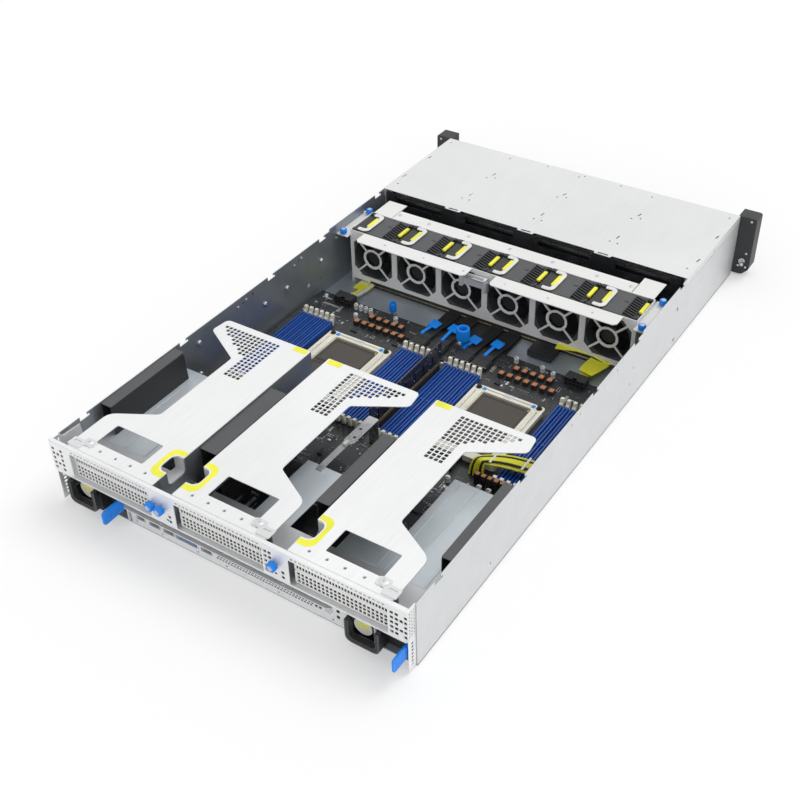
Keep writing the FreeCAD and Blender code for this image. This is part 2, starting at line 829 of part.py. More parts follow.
def dimm_sockets():
    """Slotted memory sockets in groups, each with a latch at both ends."""
    pieces = []
    y = (socket_front, socket_front + socket_length)
    for share in socket_group_shares:
        for x in spread(share * body_width, socket_count, -socket_pitch):
            across = (x - socket_width / 2, x + socket_width / 2)
            body = block(across, y, (board_top, board_top + socket_height))
            slot_x = (x - slot_width / 2, x + slot_width / 2)
            slot_z = (board_top + slot_floor, board_top + socket_height + 1)
            pieces.append(body.cut(block(slot_x, (y[0] + slot_end, y[1] - slot_end), slot_z)))
            pieces.append(socket_latch(x, y[0], -1))
            pieces.append(socket_latch(x, y[1], 1))
    return Part.Compound(pieces)


def socket_latch(x, y, way):
    """The latch that leans out at one end of a memory socket."""
    top = board_top + latch_height
    foot = y + way * latch_length * latch_foot_share
    outline = [(y, board_top), (foot, board_top), (y + way * latch_length, top), (y, top)]
    half = socket_width / 2 - latch_side_gap
    return plate_across(outline, (x - half, x + half))


def cpu_sockets():
    """Two processor sockets: a frame with four posts and the cover in its window."""
    pieces = []
    half = cpu_frame_width / 2
    y = (cpu_frame_front, cpu_frame_front + cpu_frame_length)
    window = (y[0] + cpu_frame_front_bar, y[0] + cpu_frame_front_bar + cpu_window_length)
    cover_y = (window[0] + rest_gap, window[1] - rest_gap)
    for x in cpu_places():
        frame = block((x - half, x + half), y, (board_top, board_top + cpu_frame_height))
        sides = (x - cpu_window_width / 2, x + cpu_window_width / 2)
        opening_z = (board_top - 1, board_top + cpu_frame_height + 1)
        posts = [frame.cut(block(sides, window, opening_z))]
        for across in (x - half + cpu_post_inset[0], x + half - cpu_post_inset[0]):
            for along in (y[0] + cpu_post_inset[1], y[1] - cpu_post_inset[1]):
                post_z = (board_top, board_top + cpu_post_height)
                posts.append(sided_up(across, along, cpu_post_radius, post_z))
        pieces.append(joined(posts))
        cover_x = (sides[0] + rest_gap, sides[1] - rest_gap)
        pieces.append(block(cover_x, cover_y, (board_top, board_top + cover_height)))
    return Part.Compound(pieces)


def cpu_places():
    """The middle of each processor socket across the rack."""
    return [share * body_width for share in cpu_shares]


def standing_block(x, y, size, height):
    """A block on the main board, square or oblong, round a place."""
    across = (x - size[0] / 2, x + size[0] / 2)
    along = (y - size[1] / 2, y + size[1] / 2)
    return block(across, along, (board_top, board_top + height))


def coil_row(x, y, count, pitch, size, height):
    """A row of square coils with its middle at a place."""
    places = spread(x - (count - 1) * pitch / 2, count, pitch)
    return [standing_block(place, y, (size, size), height) for place in places]


def board_parts():
    """Coils, connectors, cooling blocks, baffles, upright boards and posts of the main board."""
    pieces = []
    for x in cpu_places():
        for gap, count in zip(coil_row_gaps, coil_counts):
            pieces += coil_row(x, board_front + gap, count, coil_pitch, coil_size, coil_height)
    rear_coils = (rear_coil_share * body_width, board_front + rear_coil_gap)
    pieces += coil_row(*rear_coils, rear_coil_count, rear_coil_pitch, rear_coil_size, rear_coil_height)
    for x in flat_cable_places:
        pieces.append(standing_block(x, cable_plug_place, cable_plug_size, coil_height))
    for x in corner_plug_places:
        pieces.append(standing_block(x, corner_plug_row, corner_plug_size, corner_plug_height))
    for x in cooling_block_places:
        pieces.append(cooling_block(x, board_front + cooling_block_gap))
    baffle_a = (riser_edges[1] + riser_baffle_gap, riser_edges[0] - slide_gap)
    baffle_b = (riser_edges[2] + riser_baffle_gap, riser_edges[2] + riser_baffle_gap + riser_baffle_width)
    pieces += [baffle(baffle_a, board_top), baffle(baffle_b, board_top)]
    pieces += [centre_board(), card_rail(), guide_post(), guide_knob()]
    return Part.Compound(pieces)


def baffle(x, bottom):
    """An upside-down channel that keeps the air between the riser cages."""
    y = (supply_face - supply_length + baffle_front_gap, body_depth - baffle_rear_gap)
    channel = block(x, y, (bottom, baffle_top))
    inside = (x[0] + baffle_sheet, x[1] - baffle_sheet)
    return channel.cut(block(inside, (y[0] - 1, y[1] + 1), (bottom - 1, baffle_top - baffle_sheet)))


def card_rail():
    """The narrow bracket behind the centre board, on two legs."""
    y = (board_front + card_rail_gap, board_front + card_rail_gap + card_rail_length)
    rail = block(card_rail_places, y, (card_rail_top - thin_sheet, card_rail_top))
    leg_z = (board_top, card_rail_top)
    front_leg = block(card_rail_places, (y[0], y[0] + thin_sheet), leg_z)
    rear_leg = block(card_rail_places, (y[1] - thin_sheet, y[1]), leg_z)
    return joined([rail, front_leg, rear_leg])


def guide_post():
    """The post on the floor in front of the main board."""
    x, shift = guide_post_place
    place = (x, board_front + shift)
    return sided_up(*place, guide_post_radius, (sheet, guide_post_top), thumbscrew_sides)


def guide_knob():
    """The hollow knob between the cable plugs, on a thin stem."""
    x, shift = guide_knob_place
    y = board_front + shift
    low, middle, high = guide_knob_levels
    stem = sided_up(x, y, guide_knob_stem, (low, middle + 1))
    head = sided_up(x, y, guide_knob_radius, (middle, high), thumbscrew_sides)
    hole = sided_up(x, y, guide_knob_hole, (middle + 2, high + 1), thumbscrew_sides)
    return joined([stem, head.cut(hole)])


def cooling_block(x, y):
    """A finned cooling block on the rear half of the main board."""
    half = cooling_block_width / 2
    along = (y - half, y + half)
    fins = [block((x - half, x + half), along, (board_top, board_top + cooling_base))]
    pitch = (cooling_block_width - fin_thickness) / (fin_count - 1)
    for place in spread(x - half, fin_count, pitch):
        fin_z = (board_top + cooling_base, board_top + cooling_block_height)
        fins.append(block((place, place + fin_thickness), along, fin_z))
    return joined(fins)


def centre_board():
    """The small upright board between the two middle groups of memory sockets."""
    x = (centre_board_place - riser_card_thickness / 2, centre_board_place + riser_card_thickness / 2)
    front = socket_front - centre_board_lead
    y = (front, front + centre_board_length)
    foot_y = (y[0] + centre_board_foot, y[1] - centre_board_foot)
    width, height = centre_board_socket
    socket_x = (centre_board_place - width / 2, centre_board_place + width / 2)
    socket = block(socket_x, foot_y, (board_top, board_top + height))
    board_low = board_top + height + 1
    foot = block(x, foot_y, (board_top + height, board_low))
    return joined([socket, foot, block(x, y, (board_low, centre_board_top))])


def riser_outline(edge, side):
    """The riser cage's top plate: a wide head, a narrow trunk and a wide tail."""
    slant = riser_head_slant
    points = [(0, riser_front), (riser_head - slant, riser_front), (riser_head, riser_front + slant)]
    points += [(riser_head, riser_front + riser_head_length), (riser_trunk, trunk_y()[0])]
    points += [(riser_trunk, trunk_y()[1]), (riser_tail, riser_rear - riser_tail_length)]
    points += [(riser_tail, riser_rear), (0, riser_rear)]
    return [(edge + side * reach, y) for reach, y in points]


def trunk_y():
    """Where the narrow trunk of a riser cage starts and ends."""
    return (riser_front + riser_trunk_gap, riser_rear - riser_tail_length - riser_tail_slant)


def riser_reach(edge, side, near, far):
    """Where a stretch of a riser cage lies across the rack, counted from its side wall."""
    return tuple(sorted((edge + side * near, edge + side * far)))


def riser_top_plate(edge, side):
    """The top plate with its window over the cards and its finger hole."""
    through = (riser_top - thin_sheet - 1, riser_top + 1)
    plate = plate_up(riser_outline(edge, side), (riser_top - thin_sheet, riser_top))
    window_rear = riser_rear - riser_window_gap
    window_y = (window_rear - riser_window_length, window_rear)
    window_x = riser_reach(edge, side, riser_window[0], riser_tail - riser_window[1])
    plate = plate.cut(block(window_x, window_y, through))
    return plate.cut(block(riser_reach(edge, side, -1, finger_hole_depth), finger_hole_y(), through))


def finger_hole_y():
    """Where the finger hole lies from front to rear."""
    rear = riser_rear - finger_hole_gap
    return (rear - finger_hole_length, rear)


def riser_bracket(edge, side, middle, y):
    """The upright rear bracket with an opening behind each slot cover, and the covers."""
    bracket = block(riser_reach(edge, side, 0, riser_tail), y, (riser_bottom, riser_top))
    covers = []
    half = riser_tail / 2 - slot_cover_gap
    opening = riser_reach(edge, side, middle - half + 3, middle + half - 3)
    for low in spread(riser_bottom + 1, slot_count, slot_cover_pitch):
        high = low + slot_cover_height
        bracket = bracket.cut(block(opening, (y[0] - 1, y[1] + 1), (low + 2, high - 2)))
        across = riser_reach(edge, side, middle - half, middle + half)
        covers.append(slot_cover(across, y[1], (low, high)))
    return bracket, covers


def riser_cage(edge, side):
    """A riser cage: top plate, side wall, rear bracket, slot covers and riser card."""
    wall_x = riser_reach(edge, side, 0, thin_sheet)
    wall = block(wall_x, (riser_front, riser_rear), (riser_bottom, riser_top))
    grip = riser_reach(edge, side, -1, thin_sheet + 1)
    wall = wall.cut(block(grip, finger_hole_y(), (riser_top - finger_hole_drop, riser_top + 1)))
    bracket_rear = riser_rear - slot_cover_recess + 2 * thin_sheet
    bracket_y = (bracket_rear - thin_sheet, bracket_rear)
    middle = (riser_tail + thin_sheet) / 2
    bracket, covers = riser_bracket(edge, side, middle, bracket_y)
    card_x = riser_reach(edge, side, thin_sheet, thin_sheet + riser_card_thickness)
    card_z = (riser_bottom + riser_card_margins[0], riser_top - riser_card_margins[1])
    card = block(card_x, trunk_y(), card_z)
    cage = joined([riser_top_plate(edge, side), wall, bracket])
    return Part.Compound([cage, card] + covers)


def slot_cover(x, y, z):
    """A vented blank over one expansion slot."""
    cover = block(x, (y, y + thin_sheet), z)
    pitch = (x[1] - x[0] - 2 * slot_vent_margin) / slot_vent_count
    for place in spread(x[0] + slot_vent_margin, slot_vent_count, pitch):
        vent_z = (z[0] + slot_vent_margin, z[1] - slot_vent_margin)
        cover = cover.cut(block((place, place + pitch * slot_vent_share), (y - 1, y + 3), vent_z))
    return cover


def rear_frame():
    """The upper rear wall with its three card bays, its sides and the shelf under them."""
    face = (body_depth - sheet, body_depth)
    through = (face[0] - 1, face[1] + 1)
    panel = block((-half_width, half_width), face, (frame_bottom, riser_top))
    for edge, side in zip(riser_edges, riser_sides):
        bay = riser_reach(edge, side, bay_window_margins[0], riser_tail - bay_window_margins[1])
        panel = panel.cut(block(bay, through, (bay_window_bottom, bay_window_top)))
    rim_y = (riser_rear + rest_gap, body_depth)
    rim = block((-half_width, half_width), rim_y, (riser_top - thin_sheet, riser_top))
    shelf_z = (frame_bottom, frame_bottom + thin_sheet)
    roof_y = (supply_face - supply_length, body_depth - shelf_length)
    shelf = block((-wall_inside, wall_inside), (roof_y[1], body_depth), shelf_z)
    roof_left = block((supply_wall_places[0], wall_inside), roof_y, shelf_z)
    roof_right = block((-wall_inside, supply_wall_places[1] + thin_sheet), roof_y, shelf_z)
    pieces = [panel, rim, shelf, roof_left, roof_right]
    for side in (1, -1):
        flange = sorted((side * (wall_inside - thin_sheet), side * wall_inside))
        flange_y = (body_depth - frame_side_reach, body_depth)
        pieces.append(block(flange, flange_y, (frame_bottom, bay_window_top)))
    edge = wall_inside - rest_gap
    pieces.append(baffle((edge - wall_baffle_widths[0], edge), shelf_z[1]))
    pieces.append(baffle((-edge, -edge + wall_baffle_widths[1]), shelf_z[1]))
    divider_y = (supply_face - supply_length, pan_depth)
    for place in supply_wall_places:
        pieces.append(block((place, place + thin_sheet), divider_y, (sheet, frame_bottom)))
    return joined(pieces)


def io_panel():
    """The lower rear wall between the power supplies, with its sockets."""
    x = (supply_wall_places[1] + thin_sheet, supply_wall_places[0])
    y = (pan_depth - thin_sheet, pan_depth)
    panel = block(x, y, (sheet, frame_bottom))
    lip_x = (x[0] + io_lip_ends[0], x[1] - io_lip_ends[1])
    lip = block(lip_x, (pan_depth, body_depth), (io_lip_height, io_lip_height + sheet))
    lip = rounded(lip, io_lip_round, Vector(0, 0, 1), lambda p: p.y > pan_depth + 1)
    shells = []
    for inset, width, tall in io_sockets:
        place = x[1] - inset
        across = (place - width / 2, place + width / 2)
        opening_z = (board_top, board_top + tall)
        panel = panel.cut(block(across, (y[0] - 1, y[1] + 1), opening_z))
        half = width / 2 - rest_gap
        shells.append(port_shell(place, half, tall - 2 * rest_gap, board_top + rest_gap, y[1]))
    return Part.Compound([joined([panel, lip])] + shells)


def port_shell(x, half, tall, bottom, rear):
    """A hollow socket shell that is open to the rear."""
    front = rear - socket_shell_length
    shell = block((x - half, x + half), (front, rear + 0.5), (bottom, bottom + tall))
    hollow_x = (x - half + thin_sheet, x + half - thin_sheet)
    hollow_z = (bottom + thin_sheet, bottom + tall - thin_sheet)
    return shell.cut(block(hollow_x, (front + 2 * thin_sheet, rear + 1), hollow_z))


def supply_z():
    """The underside and the top of a power supply."""
    return (sheet + rest_gap, sheet + rest_gap + supply_height)


def power_supply(left):
    """A power supply module: case, fan bore, inlet socket and the arched pull handle."""
    z = supply_z()
    level = (z[0] + z[1]) / 2
    case_x = (left + rest_gap, left + rest_gap + supply_width - 1)
    case = block(case_x, (supply_face - supply_length, supply_face), z)
    fan_x = left + supply_fan_offset
    bore_y = (supply_face - supply_bore_depth, supply_face + 1)
    case = case.cut(sided_back(fan_x, level, supply_fan_radius, bore_y, bore_sides))
    inlet_x = (left + inlet_offset - inlet_width / 2, left + inlet_offset + inlet_width / 2)
    inlet_z = (level - inlet_height / 2, level + inlet_height / 2)
    case = case.cut(block(inlet_x, (supply_face - inlet_depth, supply_face + 1), inlet_z))
    spindle_y = (bore_y[0], bore_y[0] + spindle_length)
    spindle = sided_back(fan_x, level, fan_shaft_radius, spindle_y)
    body = joined([case, spindle] + paddle_mount(left))
    return Part.Compound([body] + inlet_pins(left + inlet_offset, level) + supply_handle(fan_x, z[1]))


def inlet_pins(x, level):
    """The three flat pins inside the inlet socket."""
    width, length, height = inlet_pin
    y = (supply_face - inlet_depth, supply_face - inlet_depth + length)
    z = (level - height / 2, level + height / 2)
    places = spread(x - inlet_pin_pitch, 3, inlet_pin_pitch)
    return [block((place - width / 2, place + width / 2), y, z) for place in places]


def paddle_place(left):
    """Where the pin of a power supply's release paddle stands, across and along."""
    return left + paddle_offset, supply_face + paddle_pin_reach


def paddle_mount(left):
    """The pin that a release paddle turns on, with the lug at each end."""
    x, y = paddle_place(left)
    ear_x = (x - paddle_ear_half, x + paddle_ear_half)
    ear_y = (supply_face, y + paddle_ear_half)
    low_ear = (paddle_bottom - rest_gap - paddle_ear_thickness, paddle_bottom - rest_gap)
    high_ear = (paddle_top + rest_gap, paddle_top + rest_gap + paddle_ear_thickness)
    pin = sided_up(x, y, paddle_pin_radius, (low_ear[0], high_ear[1]))
    return [block(ear_x, ear_y, low_ear), block(ear_x, ear_y, high_ear), pin]


def supply_handle(x, top):
    """The pieces of the bar bent out of the face, down and across in front of the fan."""
    half = handle_width / 2
    rear = (supply_face + handle_reach - handle_bar, supply_face + handle_reach)
    arm_z = (top - 1 - handle_bar, top - 1)
    drop = top - handle_drop
    across = (x - half + handle_bar, x + half - handle_bar)
    pieces = [block(across, rear, (drop, drop + handle_bar))]
    for side in ((x - half, across[0]), (across[1], x + half)):
        pieces.append(block(side, (supply_face, rear[1]), arm_z))
        pieces.append(block(side, rear, (drop, arm_z[0])))
    return pieces


def supply_latch(left):
    """The release paddle at the side of a power supply."""
    x, y = paddle_place(left)
    z = (paddle_bottom, paddle_top)
    barrel = sided_up(x, y, paddle_barrel_radius, z)
    paddle_x = (x - paddle_thickness / 2, x + paddle_thickness / 2)
    paddle = block(paddle_x, (y, supply_face + paddle_reach), z)
    bore_radius = flat_to_flat(paddle_pin_radius + hinge_clearance)
    return joined([barrel, paddle]).cut(sided_up(x, y, bore_radius, (z[0] - 1, z[1] + 1)))


def supply_fan(left):
    """The small rotor inside a power supply's fan bore."""
    x = left + supply_fan_offset
    level = sum(supply_z()) / 2
    y = (supply_face - supply_rotor_gaps[0], supply_face - supply_rotor_gaps[1])
    blades = rotor(x, level, supply_fan_hub, supply_fan_tip, y, supply_blade_chord)
    bore_radius = flat_to_flat(fan_shaft_radius + shaft_clearance)
    return blades.cut(sided_back(x, level, bore_radius, (y[0] - 1, y[0] + 4)))


def thumbscrews():
    """The captive screws of the rear frame and the fan cage."""
    pieces = []
    for riser, shift in thumbscrew_places:
        y = (body_depth, body_depth + thumbscrew_length)
        x = riser_edges[riser] + shift
        pieces.append(sided_back(x, thumbscrew_height, thumbscrew_radius, y, thumbscrew_sides))
    level = ledge_height + thin_sheet
    for side in (1, -1):
        for y in (fan_front - cage_screw_inset, fan_rear + cage_screw_inset):
            x = side * (wall_inside - cage_tab_reach / 2 - 1)
            screw_z = (level, level + cage_screw_height)
            pieces.append(sided_up(x, y, thumbscrew_radius, screw_z, thumbscrew_sides))
    return Part.Compound(pieces)


def floor_cable(x, width, end):
    """A flat cable from the backplane, under the fan cage and up to a plug on the board."""
    low = sheet + rest_gap
    rise = board_top + rest_gap
    thick = flat_cable_thickness
    start = bay_depth + backplane_thickness
    bend = [board_front - gap for gap in cable_bend_gaps]
    outline = [(start, low), (bend[0] + 1, low), (bend[1] + 1, rise), (end, rise)]
    outline += [(end, rise + thick), (bend[1] - 1, rise + thick)]
    outline += [(bend[0] - 1, low + thick), (start, low + thick)]
    return plate_across(outline, (x - width / 2, x + width / 2))


def wall_bundle():
    """The bundle that lies over the last memory group and drops to the board."""
    y = board_front + bundle_gap
    wall = rest_gap - wall_inside
    x = bundle_inner_share * body_width
    outline = [(x, y + 38), (x - 15, y + 18), (x - 46, y + 3), (wall, y)]
    outline += [(wall, y + 21), (x - 40, y + 27), (x - bundle_width, y + 40)]
    top = bundle_bottom + bundle_thickness
    lying = plate_up(outline, (bundle_bottom, top))
    leg_x = (x - bundle_width, x - 4)
    leg = block(leg_x, (y + 28, y + 36), (board_top, top))
    return joined([lying, leg])


def cables():
    """Flat cables to the board's front connectors and the bundle at the right-hand wall."""
    flat_end = cable_plug_place - cable_plug_size[1] / 2
    corner_end = corner_plug_row - corner_plug_size[1] / 2
    pieces = [floor_cable(x, flat_cable_width, flat_end) for x in flat_cable_places]
    pieces += [floor_cable(x, corner_cable_width, corner_end) for x in corner_plug_places]
    return Part.Compound(pieces + [wall_bundle()])


def server():
    """Every piece of the server by name."""
    nodes = {
        "chassis_pan": chassis_pan(),
        "drive_bay_lid": drive_bay_lid(),
        "drive_cage": drive_cage(),
        "backplane": backplane(),
        "rack_ears": rack_ears(),
        "power_button": power_button(),
        "fan_cage": fan_cage(),
        "motherboard": motherboard(),
        "dimm_sockets": dimm_sockets(),
        "cpu_sockets": cpu_sockets(),
        "board_parts": board_parts(),
        "rear_frame": rear_frame(),
        "io_panel": io_panel(),
        "thumbscrews": thumbscrews(),
        "cables": cables(),
    }
    for number, (edge, side) in enumerate(zip(riser_edges, riser_sides), 1):
        nodes[f"riser_cage_{number}"] = riser_cage(edge, side)
    for number, left in enumerate(supply_lefts, 1):
        nodes[f"power_supply_{number}"] = power_supply(left)
        nodes[f"supply_latch_{number}"] = supply_latch(left)
        nodes[f"supply_fan_{number}"] = supply_fan(left)
    for number, x in enumerate(fan_places(), 1):
        nodes[f"fan_module_{number}"] = fan_module(x)
        nodes[f"fan_rotor_{number}"] = fan_rotor(x)
    bays = [(x, bottom) for bottom in row_bottoms() for x in column_places()]
    for number, (x, bottom) in enumerate(bays, 1):
        nodes[f"drive_tray_{number}"] = drive_tray(x, bottom)
        nodes[f"tray_lever_{number}"] = tray_lever(x, bottom)
    return nodes


def write_nodes():
    """Write one file for each piece, with the origin under the middle of the server."""
    os.makedirs("parts", exist_ok=True)
    for name, shape in server().items():
        placed = shape.copy()
        placed.translate(Vector(0, shift_to_middle, 0))
        placed.exportStep(os.path.join("parts", name + ".step"))


write_nodes()
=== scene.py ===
"""The looks of an open 2U rack server, laid out as an add-on and run as a script.

Lengths inside the pieces are millimetres: X across the rack, Y from the front edge of the body
to the rear and Z up from its underside. Everything placed in the scene is in metres.
"""

import math
import random

import bmesh
import bpy
from bpy.props import FloatProperty, FloatVectorProperty, IntProperty, PointerProperty
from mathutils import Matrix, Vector
from mathutils.geometry import delaunay_2d_cdt


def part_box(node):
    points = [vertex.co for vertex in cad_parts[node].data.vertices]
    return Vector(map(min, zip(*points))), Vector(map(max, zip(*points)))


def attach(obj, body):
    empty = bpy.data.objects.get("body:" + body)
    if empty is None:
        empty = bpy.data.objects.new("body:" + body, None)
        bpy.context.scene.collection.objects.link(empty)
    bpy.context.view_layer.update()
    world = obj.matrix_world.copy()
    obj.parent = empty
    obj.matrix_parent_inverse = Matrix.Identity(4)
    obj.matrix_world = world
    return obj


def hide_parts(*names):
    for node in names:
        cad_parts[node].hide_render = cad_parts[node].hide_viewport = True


bl_info = {
    "name": "Open rack server looks",
    "version": (1, 0, 0),
    "blender": (4, 5, 0),
    "location": "View3D > Sidebar > Server",
    "description": "Builds the visible pieces of an open 2U rack server around its solids",
    "category": "Object",
}

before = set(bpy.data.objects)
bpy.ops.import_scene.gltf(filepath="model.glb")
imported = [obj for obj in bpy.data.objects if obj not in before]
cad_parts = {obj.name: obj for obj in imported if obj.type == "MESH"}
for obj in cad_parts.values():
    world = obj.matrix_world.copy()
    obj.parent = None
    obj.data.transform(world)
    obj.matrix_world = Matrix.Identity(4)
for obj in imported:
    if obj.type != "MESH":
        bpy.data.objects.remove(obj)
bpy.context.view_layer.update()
front_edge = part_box("chassis_pan")[0].y

# Measures that several pieces share, in millimetres
body_half = 219
wall_inside = 217.8
wall_top = 82.7
lid_under = 86
body_rear = 778
board_top = 9
fan_pitch = 66.8
fan_places = [fan_pitch * (2.5 - index) for index in range(6)]
fan_level = 45
fan_front, fan_rear = 228.3, 278.3
riser_edges = ((80, 1), (55, -1), (-85, -1))
riser_under, riser_top = 83.3, 84.3
supply_lefts = (133, -217.3)
supply_front, supply_face = 586, 771
supply_roof = 41.5
supply_level = 21.5
rear_face = 791.7
# Angles in degrees: where shading breaks, and where an edge is rounded
smooth_angle = 35
bevel_angle = 40


def spot(x, y, z):
    """A place given in millimetres from the front edge and the underside, in metres."""
    return Vector((x / 1000, y / 1000 + front_edge, z / 1000))


# Settings that a user would change


def colour_setting(name, description, default):
    """A colour that a user can change."""
    return FloatVectorProperty(
        name=name, description=description, default=default, subtype="COLOR", size=3, min=0, max=1
    )


def length_setting(name, description, default):
    """A length that a user can change, in metres."""
    return FloatProperty(
        name=name, description=description, default=default, subtype="DISTANCE", unit="LENGTH"
    )


class SheetSettings(bpy.types.PropertyGroup):
    """Colours and wear of the sheet metal"""

    plate: colour_setting("Plates", "Cover and riser plates", (0.87, 0.875, 0.88))
    wall: colour_setting("Walls", "Side walls of the pan", (0.70, 0.71, 0.72))
    floor: colour_setting("Floor", "Galvanised floor of the pan", (0.46, 0.52, 0.58))
    # The inner faces get a darker copy of the wall colour: painted shade of the walls' inner side.
    inner: colour_setting("Inner walls", "Inner faces of the side walls", (0.31, 0.335, 0.36))
    cage: colour_setting("Cages", "Fan cage and rear wall", (0.74, 0.75, 0.755))
    shine: FloatProperty(
        name="Shine", description="How metallic the sheet looks", default=0.45, min=0, max=1
    )
    edge: length_setting("Edge round", "Rounding of sheet edges", 0.0003)


class PlasticSettings(bpy.types.PropertyGroup):
    """Colours of the moulded parts"""

    black: colour_setting("Black", "Ears, trays, plugs and ducts", (0.018, 0.019, 0.021))
    fan: colour_setting("Fan frames", "Dark grey fan frames", (0.055, 0.057, 0.062))
    blue: colour_setting("Blue", "Touch points and tabs", (0.0, 0.24, 0.86))
    socket: colour_setting("Memory sockets", "Deep blue of the memory sockets", (0.006, 0.078, 0.39))
    yellow: colour_setting("Yellow", "Grip stripes and latch bars", (0.92, 0.90, 0.05))
    ivory: colour_setting("Ivory", "Latches and processor frames", (0.84, 0.81, 0.68))
    white: colour_setting("White", "Pull handles and labels", (0.80, 0.80, 0.79))


class BoardSettings(bpy.types.PropertyGroup):
    """Colours of the circuit boards and their parts"""

    mask: colour_setting("Board", "Solder mask of the main board", (0.012, 0.014, 0.016))
    copper: colour_setting("Copper", "Wound coils", (0.80, 0.33, 0.14))
    gold: colour_setting("Gold", "Contact edges", (0.75, 0.55, 0.22))
    cover: colour_setting("Socket cover", "Brown cover over a processor socket", (0.055, 0.047, 0.038))
    parts: IntProperty(
        name="Small parts", description="Small parts scattered on the board", default=2400, min=0
    )


class StageSettings(bpy.types.PropertyGroup):
    """Light, floor and camera"""

    sky: FloatProperty(name="Sky", description="Strength of the even light", default=0.74, min=0)
    sun: FloatProperty(name="Sun", description="Strength of the main lamp", default=1.0, min=0)
    fill: FloatProperty(name="Fill", description="Strength of the low lamp at the rear", default=0.6, min=0)
    lens: FloatProperty(name="Lens", description="Focal length in millimetres", default=53.3366, min=1)
    place: FloatVectorProperty(
        name="Camera", description="Where the camera stands", default=(-0.6008091, 0.9674083, 0.8585593),
        subtype="TRANSLATION", unit="LENGTH",
    )


# Shader sums written as Python


class Ink:
    """A shader socket that takes part in sums."""

    def __init__(self, paint, socket):
        self.paint = paint
        self.socket = socket

    def sum(self, operation, first, second):
        """The result of an operation on two numbers, sockets or colours."""
        kinds = {item.socket.type for item in (first, second) if isinstance(item, Ink)}
        if kinds == {"VALUE"}:
            return self.paint.node("ShaderNodeMath", {"operation": operation}, {0: first, 1: second})
        if "RGBA" in kinds:
            blend = {"data_type": "RGBA", "blend_type": operation}
            return self.paint.node("ShaderNodeMix", blend, {0: 1.0, 6: first, 7: second}, 2)
        return self.paint.node("ShaderNodeVectorMath", {"operation": operation}, {0: first, 1: second})

    def __add__(self, other):
        return self.sum("ADD", self, other)

    def __radd__(self, other):
        return self.sum("ADD", other, self)

    def __sub__(self, other):
        return self.sum("SUBTRACT", self, other)

    def __rsub__(self, other):
        return self.sum("SUBTRACT", other, self)

    def __mul__(self, other):
        return self.sum("MULTIPLY", self, other)

    def __rmul__(self, other):
        return self.sum("MULTIPLY", other, self)

    def over(self, limit):
        """One where this value is over a limit, and nothing elsewhere."""
        return self.sum("GREATER_THAN", self, limit)

    def wave(self, length):
        """A smooth wave between 0 and 1 that repeats each length."""
        turn = self * (2 * math.pi / length)
        return self.paint.node("ShaderNodeMath", {"operation": "SINE"}, {0: turn}) * 0.5 + 0.5

    def ramp(self, low, high, start=0.0, end=1.0):
        """This value carried from one range to another, and held at its ends."""
        return self.paint.node("ShaderNodeMapRange", {}, {0: self, 1: low, 2: high, 3: start, 4: end})

    def pick(self, first, second):
        """The first colour where this value is 0, the second where it is 1."""
        return self.paint.node("ShaderNodeMix", {"data_type": "RGBA"}, {0: self, 6: first, 7: second}, 2)


def whole_colour(value):
    """A colour as four numbers, from three or from one shade of grey."""
    if isinstance(value, (int, float)):
        return (value, value, value, 1.0)
    return (*value[:3], 1.0)


class Nodes:
    """A node tree under way, whose nodes all come from one method."""

    def __init__(self, tree):
        self.tree = tree

    def put(self, socket, value):
        """Link a socket, or give it a plain value."""
        if isinstance(value, Ink):
            self.tree.links.new(value.socket, socket)
        elif socket.type == "RGBA":
            socket.default_value = whole_colour(value)
        else:
            socket.default_value = value

    def node(self, kind, settings, sockets, output=0):
        """A node of a kind, with its settings and the values or links of its sockets."""
        made = self.tree.nodes.new(kind)
        stops = settings.pop("stops", None)
        for name, value in settings.items():
            setattr(made, name, value)
        if stops:
            ramp = made.color_ramp.elements
            while len(ramp) < len(stops):
                ramp.new(0.5)
            for element, (place, colour) in zip(ramp, stops):
                element.position = place
                element.color = whole_colour(colour)
        for key, value in sockets.items():
            self.put(made.inputs[key], value)
        return Ink(self, made.outputs[output])


class Paint(Nodes):
    """A material, with its shader and the nodes that vary it."""

    def __init__(self, name, colour, roughness, metallic=0.0, coat=0.0):
        self.name = name
        self.material = bpy.data.materials.new(name)
        self.material.use_nodes = True
        super().__init__(self.material.node_tree)
        self.shader = self.tree.nodes["Principled BSDF"]
        self.base = tuple(colour)
        self.material.diffuse_color = whole_colour(self.base)
        self.set({"Base Color": colour, "Roughness": roughness, "Metallic": metallic, "Coat Weight": coat})
        self.place = self.node("ShaderNodeTexCoord", {}, {}, "Object")

    def set(self, sockets):
        """Values or links of the shader's own sockets."""
        for name, value in sockets.items():
            self.put(self.shader.inputs[name], value)

    def noise(self, scale, detail, stretch=None):
        """Soft noise over the piece, a number between 0 and 1."""
        place = self.place
        if stretch:
            place = self.node("ShaderNodeMapping", {}, {"Vector": place, "Scale": stretch})
        return self.node(
            "ShaderNodeTexNoise", {}, {"Vector": place, "Scale": scale, "Detail": detail}, "Fac"
        )

    def cells(self, scale, output="Distance"):
        """Cells over the piece: how far from their middles, or a colour for each."""
        return self.node("ShaderNodeTexVoronoi", {}, {"Vector": self.place, "Scale": scale}, output)

    def axis(self, name):
        """One coordinate of the place on the piece, in metres."""
        return self.node("ShaderNodeSeparateXYZ", {}, {0: self.place}, name)

    def shaded(self, amount, value):
        """The base colour, darker where a value is low."""
        dark = tuple(part * (1 - amount) for part in self.base)
        return value.pick(dark, self.base)

    def bumped(self, height, distance, strength):
        """Small relief in the surface."""
        sockets = {"Strength": strength, "Distance": distance, "Height": height}
        self.set({"Normal": self.node("ShaderNodeBump", {}, sockets)})


finishes = {}


def finish(name):
    """The material of a finish, by name."""
    return finishes[name].material


